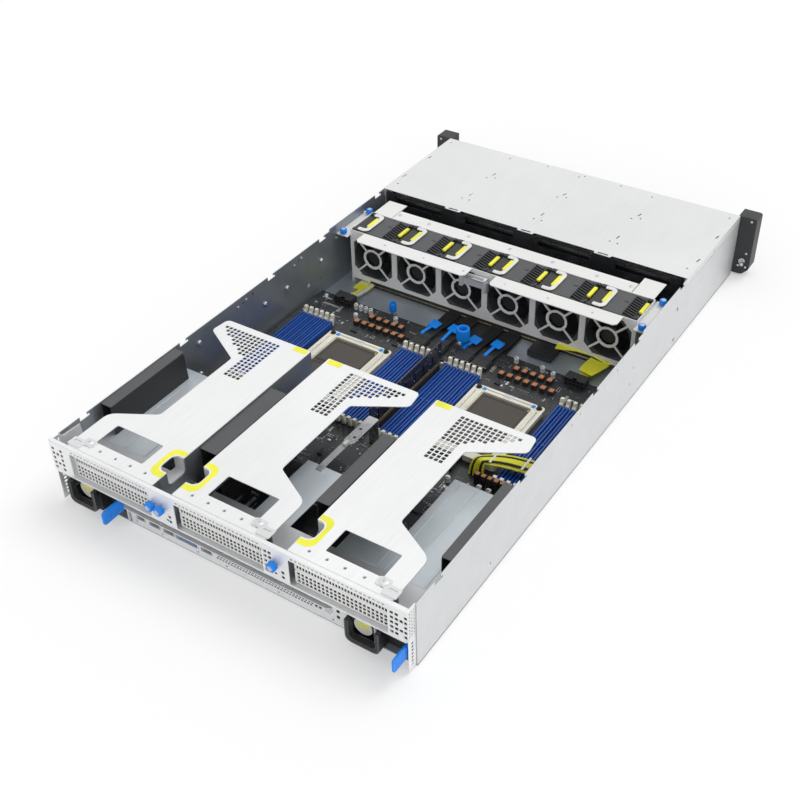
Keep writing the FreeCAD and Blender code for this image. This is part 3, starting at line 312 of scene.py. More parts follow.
def rolled_sheet(name, colour, shine, roughness, grain, spangle=0.0):
    """Rolled sheet steel with faint grain along one axis, handling marks and zinc flakes."""
    paint = Paint(name, colour, roughness, shine)
    stretch = {"x": (1.0, 60.0, 60.0), "y": (60.0, 1.0, 60.0), "z": (60.0, 60.0, 1.0)}[grain]
    lines = paint.noise(22.0, 4.0, stretch)
    clouds = paint.noise(7.0, 3.0)
    tone = lines * 0.5 + clouds * 0.5
    if spangle:
        tone = tone * (1 - spangle) + paint.cells(70.0, output="Color") * spangle
        tone = paint.node("ShaderNodeRGBToBW", {}, {0: tone})
    paint.set({"Base Color": paint.shaded(0.16, tone.ramp(0.25, 0.75))})
    marks = paint.noise(240.0, 5.0).ramp(0.5, 0.75)
    paint.set({"Roughness": roughness + (lines - 0.5) * 0.16 + marks * 0.08})
    paint.bumped(lines, 0.00004, 0.35)
    return paint


def moulded(name, colour, roughness):
    """Moulded plastic with a fine spark-eroded grain and rubbed spots."""
    paint = Paint(name, colour, roughness)
    spots = paint.noise(2600.0, 2.0)
    rub = paint.noise(24.0, 3.0)
    paint.set({"Base Color": paint.shaded(0.18, rub.ramp(0.3, 0.7))})
    paint.set({"Roughness": roughness + (rub - 0.5) * 0.18})
    paint.bumped(spots, 0.00003, 0.5)
    return paint


def plated(name, colour, roughness, shine=0.85):
    """Plated or bare metal on small parts."""
    paint = Paint(name, colour, roughness, shine)
    cloud = paint.noise(120.0, 3.0)
    paint.set({"Base Color": paint.shaded(0.2, cloud.ramp(0.3, 0.7))})
    paint.set({"Roughness": roughness + (cloud - 0.5) * 0.2})
    paint.bumped(paint.noise(900.0, 2.0), 0.00002, 0.4)
    return paint


def circuit_board(name, colour, gold):
    """A solder-masked board with tracks under the mask and gold vias."""
    paint = Paint(name, colour, 0.38, 0.0, 0.25)
    across, along = paint.axis("X"), paint.axis("Y")
    region = paint.cells(38.0, output="Color")
    split = paint.node("ShaderNodeSeparateColor", {}, {0: region}, "Red")
    tracks_x = across.wave(0.0016).over(0.74)
    tracks_y = along.wave(0.0016).over(0.74)
    side = split.over(0.5)
    tracks = tracks_x * side + tracks_y * (1 - side)
    tracks = tracks * paint.noise(55.0, 2.0).over(0.47)
    vias = 1 - paint.cells(420.0).ramp(0.1, 0.16)
    vias = vias * paint.noise(40.0, 1.0).over(0.52)
    lit = tuple(part * 2.4 + 0.012 for part in colour)
    surface = tracks.pick(colour, lit)
    paint.set({"Base Color": (vias * 0.8).pick(surface, gold), "Metallic": vias * 0.7})
    paint.set({"Roughness": 0.42 - tracks * 0.08})
    paint.bumped(tracks, 0.00005, 0.5)
    return paint


def wound_copper(name, colour):
    """Enamelled copper wire, wound in layers."""
    paint = Paint(name, colour, 0.32, 0.5)
    turns = paint.axis("Y").wave(0.0009)
    # The colour darkens in the grooves between turns: painted shade.
    paint.set({"Base Color": paint.shaded(0.55, turns.ramp(0.1, 0.6)), "Roughness": 0.42 - turns * 0.14})
    paint.bumped(turns, 0.0003, 0.8)
    return paint


def matt_label(name, colour, ink):
    """A printed paper label with plain stripes and a faint fibre."""
    paint = Paint(name, colour, 0.55)
    rows = paint.axis("Y").wave(0.0055).over(0.62) * paint.noise(240.0, 0.0, (1.0, 9.0, 1.0)).over(0.5)
    paint.set({"Base Color": (rows * 0.75).pick(colour, ink), "Roughness": 0.62 - rows * 0.12})
    paint.bumped(paint.noise(900.0, 3.0), 0.00002, 0.3)
    return paint


def make_finishes(scene):
    """Every finish of the server."""
    sheet, plastic, board = scene.server_sheet, scene.server_plastic, scene.server_board
    made = [
        rolled_sheet("plate_sheet", sheet.plate, sheet.shine, 0.42, "y"),
        rolled_sheet("lid_sheet", (0.77, 0.775, 0.78), sheet.shine, 0.42, "y"),
        rolled_sheet("roof_sheet", (0.70, 0.76, 0.80), 0.35, 0.34, "y", 0.12),
        rolled_sheet("lip_sheet", (0.66, 0.67, 0.68), 0.2, 0.42, "x"),
        rolled_sheet("guard_sheet", (0.82, 0.82, 0.81), 0.15, 0.42, "x"),
        rolled_sheet("wall_sheet", sheet.wall, sheet.shine, 0.4, "z", 0.12),
        rolled_sheet("floor_sheet", sheet.floor, 0.55, 0.36, "x", 0.3),
        # A darker copy of the wall sheet for inward faces: painted shade of the inner side.
        rolled_sheet("shaded_inner_sheet", sheet.inner, 0.65, 0.32, "z", 0.25),
        rolled_sheet("cage_sheet", sheet.cage, sheet.shine, 0.38, "x", 0.1),
        # Near-black sheet for strips set in gaps and under edges: painted shade.
        rolled_sheet("painted_shade_sheet", (0.05, 0.052, 0.056), 0.3, 0.5, "y"),
        moulded("black_plastic", plastic.black, 0.48),
        moulded("fan_plastic", plastic.fan, 0.46),
        moulded("grey_plastic", (0.075, 0.078, 0.083), 0.5),
        moulded("blue_plastic", plastic.blue, 0.36),
        moulded("socket_plastic", plastic.socket, 0.34),
        moulded("yellow_plastic", plastic.yellow, 0.42),
        moulded("ivory_plastic", plastic.ivory, 0.4),
        moulded("white_plastic", plastic.white, 0.42),
        moulded("rubber", (0.014, 0.014, 0.015), 0.6),
        moulded("chip_epoxy", (0.016, 0.017, 0.019), 0.42),
        moulded("ceramic", (0.23, 0.17, 0.11), 0.4),
        # Black film of the baffles and cable sheet; under the fan cage the same finish paints a shaded gap.
        moulded("black_film_and_shade", (0.02, 0.021, 0.023), 0.55),
        moulded("socket_cover", board.cover, 0.38),
        plated("tin", (0.72, 0.73, 0.75), 0.3),
        plated("can_shell", (0.86, 0.86, 0.86), 0.36, 0.35),
        plated("steel", (0.6, 0.61, 0.63), 0.28),
        plated("gold", board.gold, 0.26),
        # Near-black matt finish for fills set behind holes and openings: painted shade of what is seen
        # through them.
        plated("painted_hole_shade", (0.01, 0.01, 0.011), 0.8, 0.0),
        circuit_board("board_mask", board.mask, board.gold),
        circuit_board("card_mask", (0.008, 0.012, 0.03), board.gold),
        wound_copper("copper", board.copper),
        matt_label("white_label", (0.8, 0.8, 0.78), (0.08, 0.08, 0.08)),
        matt_label("yellow_label", plastic.yellow, (0.1, 0.12, 0.05)),
    ]
    finishes.update({paint.name: paint for paint in made})


# Mesh making


class Shape:
    """A piece under way, in millimetres."""

    def __init__(self, material):
        self.mesh = bmesh.new()
        self.materials = []
        self.index = 0
        self.use(material)

    def use(self, name):
        """The finish of the faces that follow."""
        if name not in self.materials:
            self.materials.append(name)
        self.index = self.materials.index(name)
        return self

    def point(self, x, y, z):
        """A corner of the mesh."""
        return self.mesh.verts.new(spot(x, y, z))

    def skin(self, corners):
        """A face through corners."""
        self.mesh.faces.new(corners).material_index = self.index

    def block(self, x, y, z):
        """A box between two values on each axis."""
        return self.prism(oblong(x, y), "z", z)

    def loft(self, rings, closed=True):
        """A skin over rings of equally many places."""
        rows = [[self.point(*place) for place in ring] for ring in rings]
        count = len(rows[0])
        for first, second in zip(rows, rows[1:]):
            for index in range(count):
                after = (index + 1) % count
                self.skin([first[index], first[after], second[after], second[index]])
        if closed:
            self.skin(rows[0][::-1])
            self.skin(rows[-1])
        return self

    def prism(self, outline, axis, span):
        """An outline pushed along an axis."""
        return self.loft([[lay(a, b, axis, level) for a, b in outline] for level in span])

    def disc(self, a, b, radius, axis, span, sides):
        """A round bar along an axis."""
        return self.prism(ring_of(a, b, radius, sides), axis, span)

    def turned(self, a, b, axis, profile, sides):
        """A turned form: pairs of radius and place along its axis."""
        rings = [
            [lay(p, q, axis, level) for p, q in ring_of(a, b, radius, sides)] for radius, level in profile
        ]
        return self.loft(rings)

    def tube(self, places, radius, sides, flat=1.0):
        """A round or flattened bar that follows places."""
        points = [Vector(place) for place in places]
        first = (points[1] - points[0]).normalized()
        side = first.cross(Vector((0, 0, 1))) if abs(first.z) < 0.9 else Vector((1, 0, 0))
        rings = []
        for index, point in enumerate(points):
            ahead = (points[min(index + 1, len(points) - 1)] - points[max(index - 1, 0)]).normalized()
            side = (side - ahead * side.dot(ahead)).normalized()
            up = side.cross(ahead)
            ring = []
            for turn in range(sides):
                angle = 2 * math.pi * (turn + 0.5) / sides
                ring.append(
                    tuple(point + side * radius * math.cos(angle) + up * radius * flat * math.sin(angle))
                )
            rings.append(ring)
        return self.loft(rings)

    def sheet(self, outline, holes, axis, span):
        """A sheet with real holes, between two levels along an axis."""
        loops = [outline] + holes
        places = [Vector(place) for loop in loops for place in loop]
        edges, start = [], 0
        for loop in loops:
            edges += [(start + index, start + (index + 1) % len(loop)) for index in range(len(loop))]
            start += len(loop)
        spots, _, faces, *_ = delaunay_2d_cdt(places, edges, [], 1, 1e-4)
        frames = []
        for hole in holes:
            across, along = zip(*hole)
            frames.append((min(across), max(across), min(along), max(along), hole))
        rows = [[self.point(*lay(p.x, p.y, axis, level)) for p in spots] for level in span]
        kept = []
        for face in faces:
            middle = sum((spots[index] for index in face), Vector((0, 0))) / len(face)
            if not any(
                left < middle.x < right and low < middle.y < high and within(middle, hole)
                for left, right, low, high, hole in frames
            ):
                kept.append(tuple(face))
        used = {}
        for face in kept:
            self.skin([rows[0][index] for index in face[::-1]])
            self.skin([rows[1][index] for index in face])
            for first, second in zip(face, face[1:] + face[:1]):
                used[(first, second)] = used.get((first, second), 0) + 1
        for first, second in used:
            if (second, first) not in used:
                self.skin([rows[0][first], rows[0][second], rows[1][second], rows[1][first]])
        return self

    def done(self, name, body, slot, replaces=(), edge=0.0, segments=1):
        """The finished object, riding on its body."""
        loose = [vert for vert in self.mesh.verts if not vert.link_faces]
        bmesh.ops.delete(self.mesh, geom=loose, context="VERTS")
        bmesh.ops.recalc_face_normals(self.mesh, faces=self.mesh.faces)
        for face in self.mesh.faces:
            face.smooth = True
        for line in self.mesh.edges:
            line.smooth = line.calc_face_angle(0) < math.radians(smooth_angle)
        mesh = bpy.data.meshes.new(name)
        self.mesh.to_mesh(mesh)
        self.mesh.free()
        for material in self.materials:
            mesh.materials.append(finish(material))
        piece = in_scene(name, mesh)
        if edge:
            soften(piece, edge, segments)
        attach(piece, body)
        if replaces:
            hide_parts(*replaces)


def in_scene(name, data):
    """A new object in the scene."""
    made = bpy.data.objects.new(name, data)
    bpy.context.scene.collection.objects.link(made)
    return made


def soften(piece, edge, segments):
    """Round the sharp edges of a piece a little."""
    bevel = piece.modifiers.new("edges", "BEVEL")
    bevel.width = edge
    bevel.segments = segments
    bevel.limit_method = "ANGLE"
    bevel.angle_limit = math.radians(bevel_angle)


def lay(a, b, axis, level):
    """A flat place set at a level along an axis."""
    return {"x": (level, a, b), "y": (a, level, b), "z": (a, b, level)}[axis]


def ring_of(a, b, radius, sides):
    """Places round a circle."""
    turns = [2 * math.pi * (index + 0.5) / sides for index in range(sides)]
    return [(a + radius * math.cos(turn), b + radius * math.sin(turn)) for turn in turns]


def oblong(a, b, radius=0.0, sides=4):
    """An upright rectangle with rounded corners, from two spans."""
    if not radius:
        return [(a[0], b[0]), (a[1], b[0]), (a[1], b[1]), (a[0], b[1])]
    corners = [(a[1] - radius, b[1] - radius, 0), (a[0] + radius, b[1] - radius, 1)]
    corners += [(a[0] + radius, b[0] + radius, 2), (a[1] - radius, b[0] + radius, 3)]
    places = []
    for x, y, quarter in corners:
        for index in range(sides + 1):
            turn = math.pi / 2 * (quarter + index / sides)
            places.append((x + radius * math.cos(turn), y + radius * math.sin(turn)))
    return places


def slit(a, b, length, width, angle=0.0):
    """A slot with round ends, turned by an angle in degrees."""
    half, sides = (length - width) / 2, 4
    places = []
    for end, start in ((half, -90), (-half, 90)):
        for index in range(sides + 1):
            turn = math.radians(start + 180 * index / sides)
            places.append((end + width / 2 * math.cos(turn), width / 2 * math.sin(turn)))
    turn = math.radians(angle)
    cos, sin = math.cos(turn), math.sin(turn)
    return [(a + p * cos - q * sin, b + p * sin + q * cos) for p, q in places]


def rounded(corners, radius, sides):
    """An outline whose corners are rounded; a radius for all or one for each."""
    places = []
    count = len(corners)
    for index, corner in enumerate(corners):
        reach = radius[index] if isinstance(radius, (list, tuple)) else radius
        middle = Vector(corner)
        before = Vector(corners[index - 1]) - middle
        after = Vector(corners[(index + 1) % count]) - middle
        if reach <= 0:
            places.append(tuple(middle))
            continue
        reach = min(reach, before.length * 0.45, after.length * 0.45)
        first, last = middle + before.normalized() * reach, middle + after.normalized() * reach
        for step in range(sides + 1):
            share = step / sides
            point = first * (1 - share) ** 2 + middle * 2 * share * (1 - share) + last * share**2
            places.append(tuple(point))
    return places


def within(point, loop):
    """Whether a flat place lies inside an outline."""
    inside = False
    x, y = point
    for (ax, ay), (bx, by) in zip(loop, loop[1:] + loop[:1]):
        if (ay > y) != (by > y) and x < (bx - ax) * (y - ay) / (by - ay) + ax:
            inside = not inside
    return inside


def about(middle, half):
    """The span that lies evenly about a place."""
    return (middle - half, middle + half)


def mirrored(side, near, far, middle=0.0):
    """A span that reaches out from a middle on one side, low end first."""
    return sorted((middle + side * near, middle + side * far))


def spread(low, count, pitch):
    """Evenly spaced places."""
    return [low + index * pitch for index in range(count)]


def paint_node(name, material):
    """Give a solid of the part its finish."""
    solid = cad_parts[name]
    solid.data.materials.clear()
    solid.data.materials.append(finish(material))


# The pieces


# The lid's rear edge, its hook tabs, round holes and slits
lid_rear = 175.1
lid_tabs = (108, 0, -108)
lid_dots = (
    (113.5, 144), (102.4, 144), (5.9, 143.4), (-5, 143), (-102, 143.9), (-112.8, 144.6), (113.5, 77.6),
    (103.3, 72.3), (6.2, 76.8), (-4.8, 72), (-101.6, 78.3), (-112, 73), (210.7, 11.8), (114, 11.6),
    (57.2, 5.8), (6.5, 11.4), (0.7, 5.8), (-53, 5.2), (-101.2, 12.2), (-208.6, 12.7), (-209, 154),
    (209, 154),
)
lid_slits = (
    (108.2, 129.3), (1.5, 127.7), (-106.9, 130), (109.7, 63.9), (1.1, 65), (-107, 64), (-213, 66),
    (-213.8, 130), (213, 66), (213.8, 130),
)


def drive_lid(edge):
    """The fixed cover over the drives: pierced top, folded sides and three hook tabs."""
    top = Shape("lid_sheet")
    outline = [(-body_half, 0), (body_half, 0), (body_half, lid_rear)]
    for place in lid_tabs:
        outline += [
            (place + 12, lid_rear), (place + 11, 179.1), (place - 11, 179.1), (place - 12, lid_rear)
        ]
    outline += [(-body_half, lid_rear)]
    holes = [ring_of(x, y, 1.25, 10) for x, y in lid_dots]
    holes += [slit(x, y, 8.5, 1.5, 80) for x, y in lid_slits]
    holes += [oblong(about(place, 7), (174.6, 177.4), 0.8, 2) for place in lid_tabs]
    top.sheet(outline, holes, "z", (lid_under, lid_under + 1))
    for side in (1, -1):
        slots = [slit(y, 81.4, 5, 1.6) for y in (30, 88, 146)]
        top.sheet(
            oblong((0, lid_rear), (76.6, lid_under)), slots, "x", mirrored(side, wall_inside, body_half)
        )
    top.done("bay_lid", "chassis", "lid_sheet", ["drive_bay_lid"], edge)


# A riser plate's corners as reach from its wall and depth, their rounding, and its rivets
riser_corners = (
    (0, 528), (119, 528), (122, 553), (67.5, 584.6), (67.5, 701), (115.5, 727.8), (115.5, 787), (0, 787),
)
riser_rounds = (1.5, 6, 5, 3, 4, 9, 2, 1)
rivet_reaches = (18, 38, 58, 79, 98)


def field_holes(side):
    """The grid of holes in a riser plate's head and trunk: reach from its wall, and depth."""
    columns, rows, row_pitch = spread(38, 14, 5.6), 7, 5.4
    places = []
    for y in spread(539.4, rows, row_pitch):
        limit = (110.9 if side > 0 else 105.3) - max(0, y - 543) * 1.5
        places += [(reach, y) for reach in columns if reach < limit]
    return places + [(reach, y) for y in spread(577.2, rows, row_pitch) for reach in columns[:4]]


def riser_plate(shape, edge, side):
    """The plate over the cards: holes, window, finger hole and five rivets."""
    finger = [(-0.01, 740), (7, 740), (12, 745), (12, 761), (7, 766), (-0.01, 766)]
    outline = rounded(riser_corners, riser_rounds, 5) + rounded(finger[::-1], [0, 3, 3, 3, 3, 0], 4)
    outline = [(edge + side * reach, y) for reach, y in outline]
    holes = []
    for reach, y in field_holes(side):
        holes.append(oblong(about(edge + side * reach, 2.15), about(y, 2.15), 0.8, 2))
    holes.append(oblong(mirrored(side, 30, 93, edge), (737, 769), 1.5, 3))
    holes += [ring_of(edge + side * reach, 777.5, 2.0, 12) for reach in rivet_reaches]
    shape.sheet(outline, holes, "z", (riser_under, riser_top))
    for reach in rivet_reaches:
        x, y = edge + side * reach, 777.5
        shape.use("steel").turned(x, y, "z", [(2.1, 83.1), (2.1, 83.5), (1.5, 83.8)], 12)
        # A near-black plug in each rivet's middle paints the shade in its hollow.
        shape.use("painted_hole_shade").turned(x, y, "z", [(0.9, 83.7), (0.8, 83.95)], 8)
    shape.use("plate_sheet")


def cover_strip(shape, across, z, columns, rows):
    """A vented slot cover: rows of small windows between two rims."""
    pitch = (across[1] - across[0] - 4) / columns
    rise = (z[1] - z[0] - 3) / rows
    holes = []
    for column in range(columns):
        for row in range(rows):
            x = across[0] + 2 + pitch * (column + 0.5)
            level = z[0] + 1.5 + rise * (row + 0.5)
            holes.append(oblong(about(x, pitch * 0.35), about(level, rise * 0.36)))
    shape.sheet(oblong(across, z, 1.2, 2), holes, "y", (785.4, 786.4))


def hook_latch(shape, edge, side):
    """The hooked bracket at a riser plate's outer rear corner, with its round-headed pin."""
    outline = [
        (90, 768), (104, 768), (104, 773), (117.3, 773), (117.3, 785.5), (101, 785.5), (101, 779), (90, 779)
    ]
    turned = [(edge + side * a, b) for a, b in rounded(outline, [3, 2, 1, 2, 1, 2, 1, 3], 3)]
    shape.sheet(turned, [slit(edge + side * 109.5, 777.4, 9, 2.2)], "z", (84.4, 85.3))
    middle = edge + side * 97
    shape.turned(middle, 773.5, "z", [(4.6, 85.3), (4.6, 85.9), (3.4, 86.3), (3.0, 86.7)], 20)
    shape.use("steel").turned(middle, 773.5, "z", [(1.7, 86.6), (1.5, 86.9)], 12)


def riser(number, edge, side, soft):
    """One riser cage: plate, wall with its finger pocket, rear bracket, covers, card and marks."""
    body = f"riser_cage_{number}"

    def reach(near, far):
        return mirrored(side, near, far, edge)

    cage = Shape("plate_sheet")
    riser_plate(cage, edge, side)
    wall = [(528, 44.3), (787, 44.3), (787, riser_under), (766, riser_under), (766, 70), (762, 66.3)]
    wall += [(744, 66.3), (740, 70), (740, riser_under), (528, riser_under)]
    # The upright wall takes the darker inner sheet: painted shade of its inward face.
    cage.use("shaded_inner_sheet")
    cage.sheet(rounded(wall, [2, 1, 0, 0, 3, 3, 3, 3, 0, 0], 3), [], "x", reach(0, 1))
    openings = [oblong(reach(9, 108), (low, low + 13)) for low in (48.3, 66.3)]
    cage.sheet(oblong(reach(0, 115.5), (44.3, riser_under)), openings, "y", (778, 779))
    cage.use("guard_sheet")
    cover_strip(cage, reach(5.75, 110.75), (44.6, 61.9), 22, 3)
    cover_strip(cage, reach(5.75, 110.75), (62.3, 76.2), 30, 2)
    cage.block(reach(5.75, 110.75), (779, 786), (76.2, 77.0))
    # A near-black plate behind the slot covers paints the shade inside the cage.
    cage.use("painted_hole_shade").block(reach(6.4, 110.4), (783.4, 784.2), (45, 76.4))
    cage.use("cage_sheet")
    cage.block(reach(1, 14), (740, 741), (66.3, riser_under))
    cage.block(reach(1, 14), (765, 766), (66.3, riser_under))
    cage.block(reach(1, 14), (741, 765), (66.3, 67.1))
    hook_latch(cage, edge, side)
    cage.done(f"riser_{number}", body, "riser_sheet", [body], soft)
    card = Shape("card_mask")
    card.block(reach(1.2, 2.8), (584.6, 701), (46.3, 78.3))
    card.use("black_plastic")
    for level in (49, 66):
        slots = [oblong(ends, (level + 3, level + 4.4)) for ends in ((592, 640), (644, 677))]
        card.sheet(oblong((590, 679), (level, level + 7.5), 1, 2), slots, "x", reach(2.8, 10.5))
        card.block(reach(2.8, 3.6), (590, 679), (level, level + 7.5))
    card.use("chip_epoxy")
    for y, z in ((684, 60), (690, 70), (602, 61), (640, 60.5)):
        card.block(reach(2.8, 4.2), (y, y + 6), (z, z + 4))
    card.use("gold").block(reach(1.15, 2.85), (600, 690), (44.6, 46.4))
    card.done(f"riser_card_{number}", body, "board_black")
    mark = Shape("yellow_plastic")
    outer = [(0.6, 732), (12.5, 732), (18.4, 738), (18.4, 769), (12.5, 775), (0.6, 775)]
    inner = [(0.6, 767.5), (8.2, 767.5), (13.2, 762.5), (13.2, 743.5), (8.2, 738.5), (0.6, 738.5)]
    band = rounded(outer, [0, 7, 8, 8, 7, 0], 5) + rounded(inner, [0, 4, 4, 4, 4, 0], 4)
    mark.prism([(edge + side * a, b) for a, b in band], "z", (riser_top, 84.42))
    mark.block(reach(2, 20), (528.6, 536.8), (riser_top, 84.4))
    mark.done(f"grip_mark_{number}", body, "riser_sheet")


# The rear wall's three card bays, and its columns of holes: place and how many
bays = ((84, 191), (-57, 51), (-197, -88))
wall_columns = (
    (-201.2, 5), (-206.4, 5), (-216.2, 5), (214.6, 5), (203.4, 5), (-80.5, 2), (58.5, 2), (-61, 5),
    (-66.4, 5),
)


def hole_column(x, count, low=49.5, pitch=6.2):
    """A column of square holes."""
    size = 1.75
    return [oblong(about(x, size), about(level, size)) for level in spread(low, count, pitch)]


def rear_wall(edge):
    """The upper rear wall, its bays, side flanges, shelf and supply roofs."""
    wall = Shape("plate_sheet")
    holes = [oblong(bay, (44.2, 76.5), 1, 2) for bay in bays]
    for low, high in bays:
        pitch = (high - low - 4) / 22
        holes += [oblong((x, x + pitch * 0.62), (78.6, 80.4)) for x in spread(low + 3, 22, pitch)]
    for x, count in wall_columns:
        holes += hole_column(x, count)
    holes += hole_column(-211.4, 2, 55.7, 12.4) + hole_column(209, 2, 55.7, 12.4)
    holes += [ring_of(x, 50.5, 1.6, 10) for x in (74, 62, -72)]
    outline = rounded(oblong(about(0, body_half), (43, riser_under)), [4, 4, 0, 0], 4)
    wall.sheet(outline, holes, "y", (790.5, rear_face))
    wall.block(about(0, body_half), (787.3, rear_face), (riser_under, riser_top))
    for side in (1, -1):
        outline = [
            (747.7, 44), (790.5, 44), (790.5, riser_under), (778.4, riser_under), (774, 78), (750, 76.7)
        ]
        holes = []
        for y in (780.2, 784.0, 787.8):
            holes += [oblong(about(y, 1.1), about(z, 1.3)) for z in spread(48, 8, 4.2)]
        wall.sheet(outline, holes, "x", mirrored(side, 216.6, wall_inside))
        holes = [oblong((782, 785.4), about(z, 1.3)) for z in spread(8, 7, 4.7)]
        wall.sheet(oblong((776.4, 790.5), (2.2, 43)), holes, "x", mirrored(side, 217.25, wall_inside))
    # Near-black plates behind the columns of holes paint the shade inside.
    wall.use("painted_hole_shade")
    for zone in ((-217.4, -199.4), (-87, -58.6), (55, 78), (200.6, 217.4)):
        wall.block(zone, (788.6, 789.2), (45, 82))
    wall.use("cage_sheet")
    wall.block(about(0, wall_inside), (730, 790.4), (43, 44))
    # A near-black band under the shelf's rear edge paints the shadow beneath it.
    wall.use("painted_shade_sheet").block(about(0, 216), (786.5, 790.6), (41.9, 43.1))
    wall.use("cage_sheet").block(about(0, 216), (790.2, 791.3), (41.7, 42.3))
    wall.use("roof_sheet")
    wall.block((-41, 3), (641, 730), (43, 44))
    wall.block((-142.3, -96), (700, 730), (43, 44))
    for low, high in ((131.5, wall_inside), (-wall_inside, -142.3)):
        wall.block((low, high), (supply_front, 730), (43, 44))
        wall.block((low, high), (supply_front, 587), (41.8, 43))
        for x in (low + 21, low + 47, low + 66):
            wall.block((x, x + 2.6), (592, 728), (44, 44.5))
    for x in (131.5, -143.3):
        slots = [slit(y, 22, 12, 3) for y in (620, 670, 720)]
        wall.sheet(oblong((supply_front, body_rear), (1.25, 43)), slots, "x", (x, x + 1))
    wall.done("rear_wall", "chassis", "cage_sheet", ["rear_frame"], edge)


# Each port's place, its width and its height
ports = ((118, 13, 15), (99, 16, 14), (80, 16, 14), (56, 31, 12), (30, 16, 14))


def io_wall(edge):
    """The lower rear wall between the supplies: ports, vents and the silver grip."""
    wall = Shape("plate_sheet")
    holes = []
    for x, width, tall in ports:
        holes.append(oblong(about(x, width / 2), (board_top, board_top + tall), 0.5, 2))
    for row in range(4):
        for x in spread(16 - 1.8 * (row % 2), 33, -3.6):
            holes.append(ring_of(x, 10.5 + row * 3.3, 1.45, 6))
    holes += [oblong(about(x, 1.6), (z, z + 3.2)) for x in (-105.4, -110.2) for z in (11, 17, 23)]
    for row in range(-2, 3):
        count = 5 - abs(row)
        places = [-119.5 + 2.6 * (step - count / 2 + 0.5) for step in range(count)]
        holes += [ring_of(x, 17 + row * 2.3, 0.95, 6) for x in places]
    holes += [oblong((-133, -129.4), (z, z + 4)) for z in (10, 18, 25)]
    holes.append(oblong((-138.6, -135.4), (25, 28.4)))
    holes += [ring_of(x, 5, 1.2, 8) for x in (125, 90, 42, 5, -60, -125)]
    wall.sheet(oblong((-142.3, 131.5), (1.25, 43), 0.6, 2), holes, "y", (777, body_rear))
    # A near-black plate behind the ports and vents paints the shade inside.
    wall.use("painted_hole_shade").block((-141, 19), (774.8, 775.4), (3, 33))
    wall.use("lip_sheet")
    grip = rounded(oblong((-132, 127), (body_rear, 791.5)), [0.1, 0.1, 11, 11], 8)
    wall.prism(grip, "z", (34.2, 35.6))
    wall.use("steel")
    for x in (76, -76):
        wall.turned(x, 786.5, "z", [(3.0, 35.6), (3.0, 36.4), (1.8, 37.2)], 14)
    wall.done("io_wall", "chassis", "cage_sheet", ["io_panel"], edge)
    shells = Shape("can_shell")
    for x, width, tall in ports:
        half = width / 2 - 0.3
        inside, tongue = about(x, half - 0.7), about(x, half - 2.2)
        shells.sheet(
            oblong(about(x, half), (9.3, 8.7 + tall)), [oblong(inside, (10, 8 + tall))], "y", (763, 778.5)
        )
        shells.use("black_plastic").block(inside, (763, 771), (10, 8 + tall))
        shells.use("blue_plastic" if width > 30 else "black_plastic")
        shells.block(tongue, (771, 777), (12.6, 14.6))
        if width < 17:
            shells.block(tongue, (771, 777), (17.6, 19.2))
        shells.use("gold")
        for pin in spread(x - half + 3, int(width / 3), 2.4):
            shells.block((pin, pin + 0.9), (771, 776.4), (14.6, 15.0))
        shells.use("can_shell")
    shells.done("port_shells", "chassis", "cage_sheet")


def blue_screw(shape, a, b, axis, span, radius=4.6):
    """A ribbed blue knob with a bare steel tip in its end."""
    low, high = span
    sides = 36
    rings = []
    for level, scale in ((low, 0.8), (low + 0.8, 1.0), (high - 1.6, 1.0), (high - 0.6, 0.86)):
        ring = []
        for index in range(sides):
            turn = 2 * math.pi * index / sides
            size = radius * scale * (1.0 if index % 2 else 0.92)
            ring.append(lay(a + size * math.cos(turn), b + size * math.sin(turn), axis, level))
        rings.append(ring)
    shape.use("blue_plastic").loft(rings)
    wide, narrow = radius * 0.55, radius * 0.34
    tip = [(wide, high - 1.2), (wide, high - 0.4), (narrow, high - 0.2), (narrow, high)]
    shape.use("steel").turned(a, b, axis, tip, 16)


def screws():
    """The captive screws of the rear wall and of the fan cage's ends."""
    knobs = Shape("blue_plastic")
    for x, z in ((78, 65), (66, 65), (-73, 65)):
        knobs.use("steel").turned(x, z, "y", [(2.4, 788), (2.4, 793), (3.2, 793.2), (3.2, 794)], 14)
        blue_screw(knobs, x, z, "y", (793.4, 801.2), 5.2)
    for side in (1, -1):
        for y in (223.3, 283.3):
            knobs.use("steel").turned(side * 209.3, y, "z", [(2.4, 72.4), (2.4, 75)], 14)
            blue_screw(knobs, side * 209.3, y, "z", (74, 81))
    knobs.done("captive_screws", "chassis", "screw_blue", ["thumbscrews"])


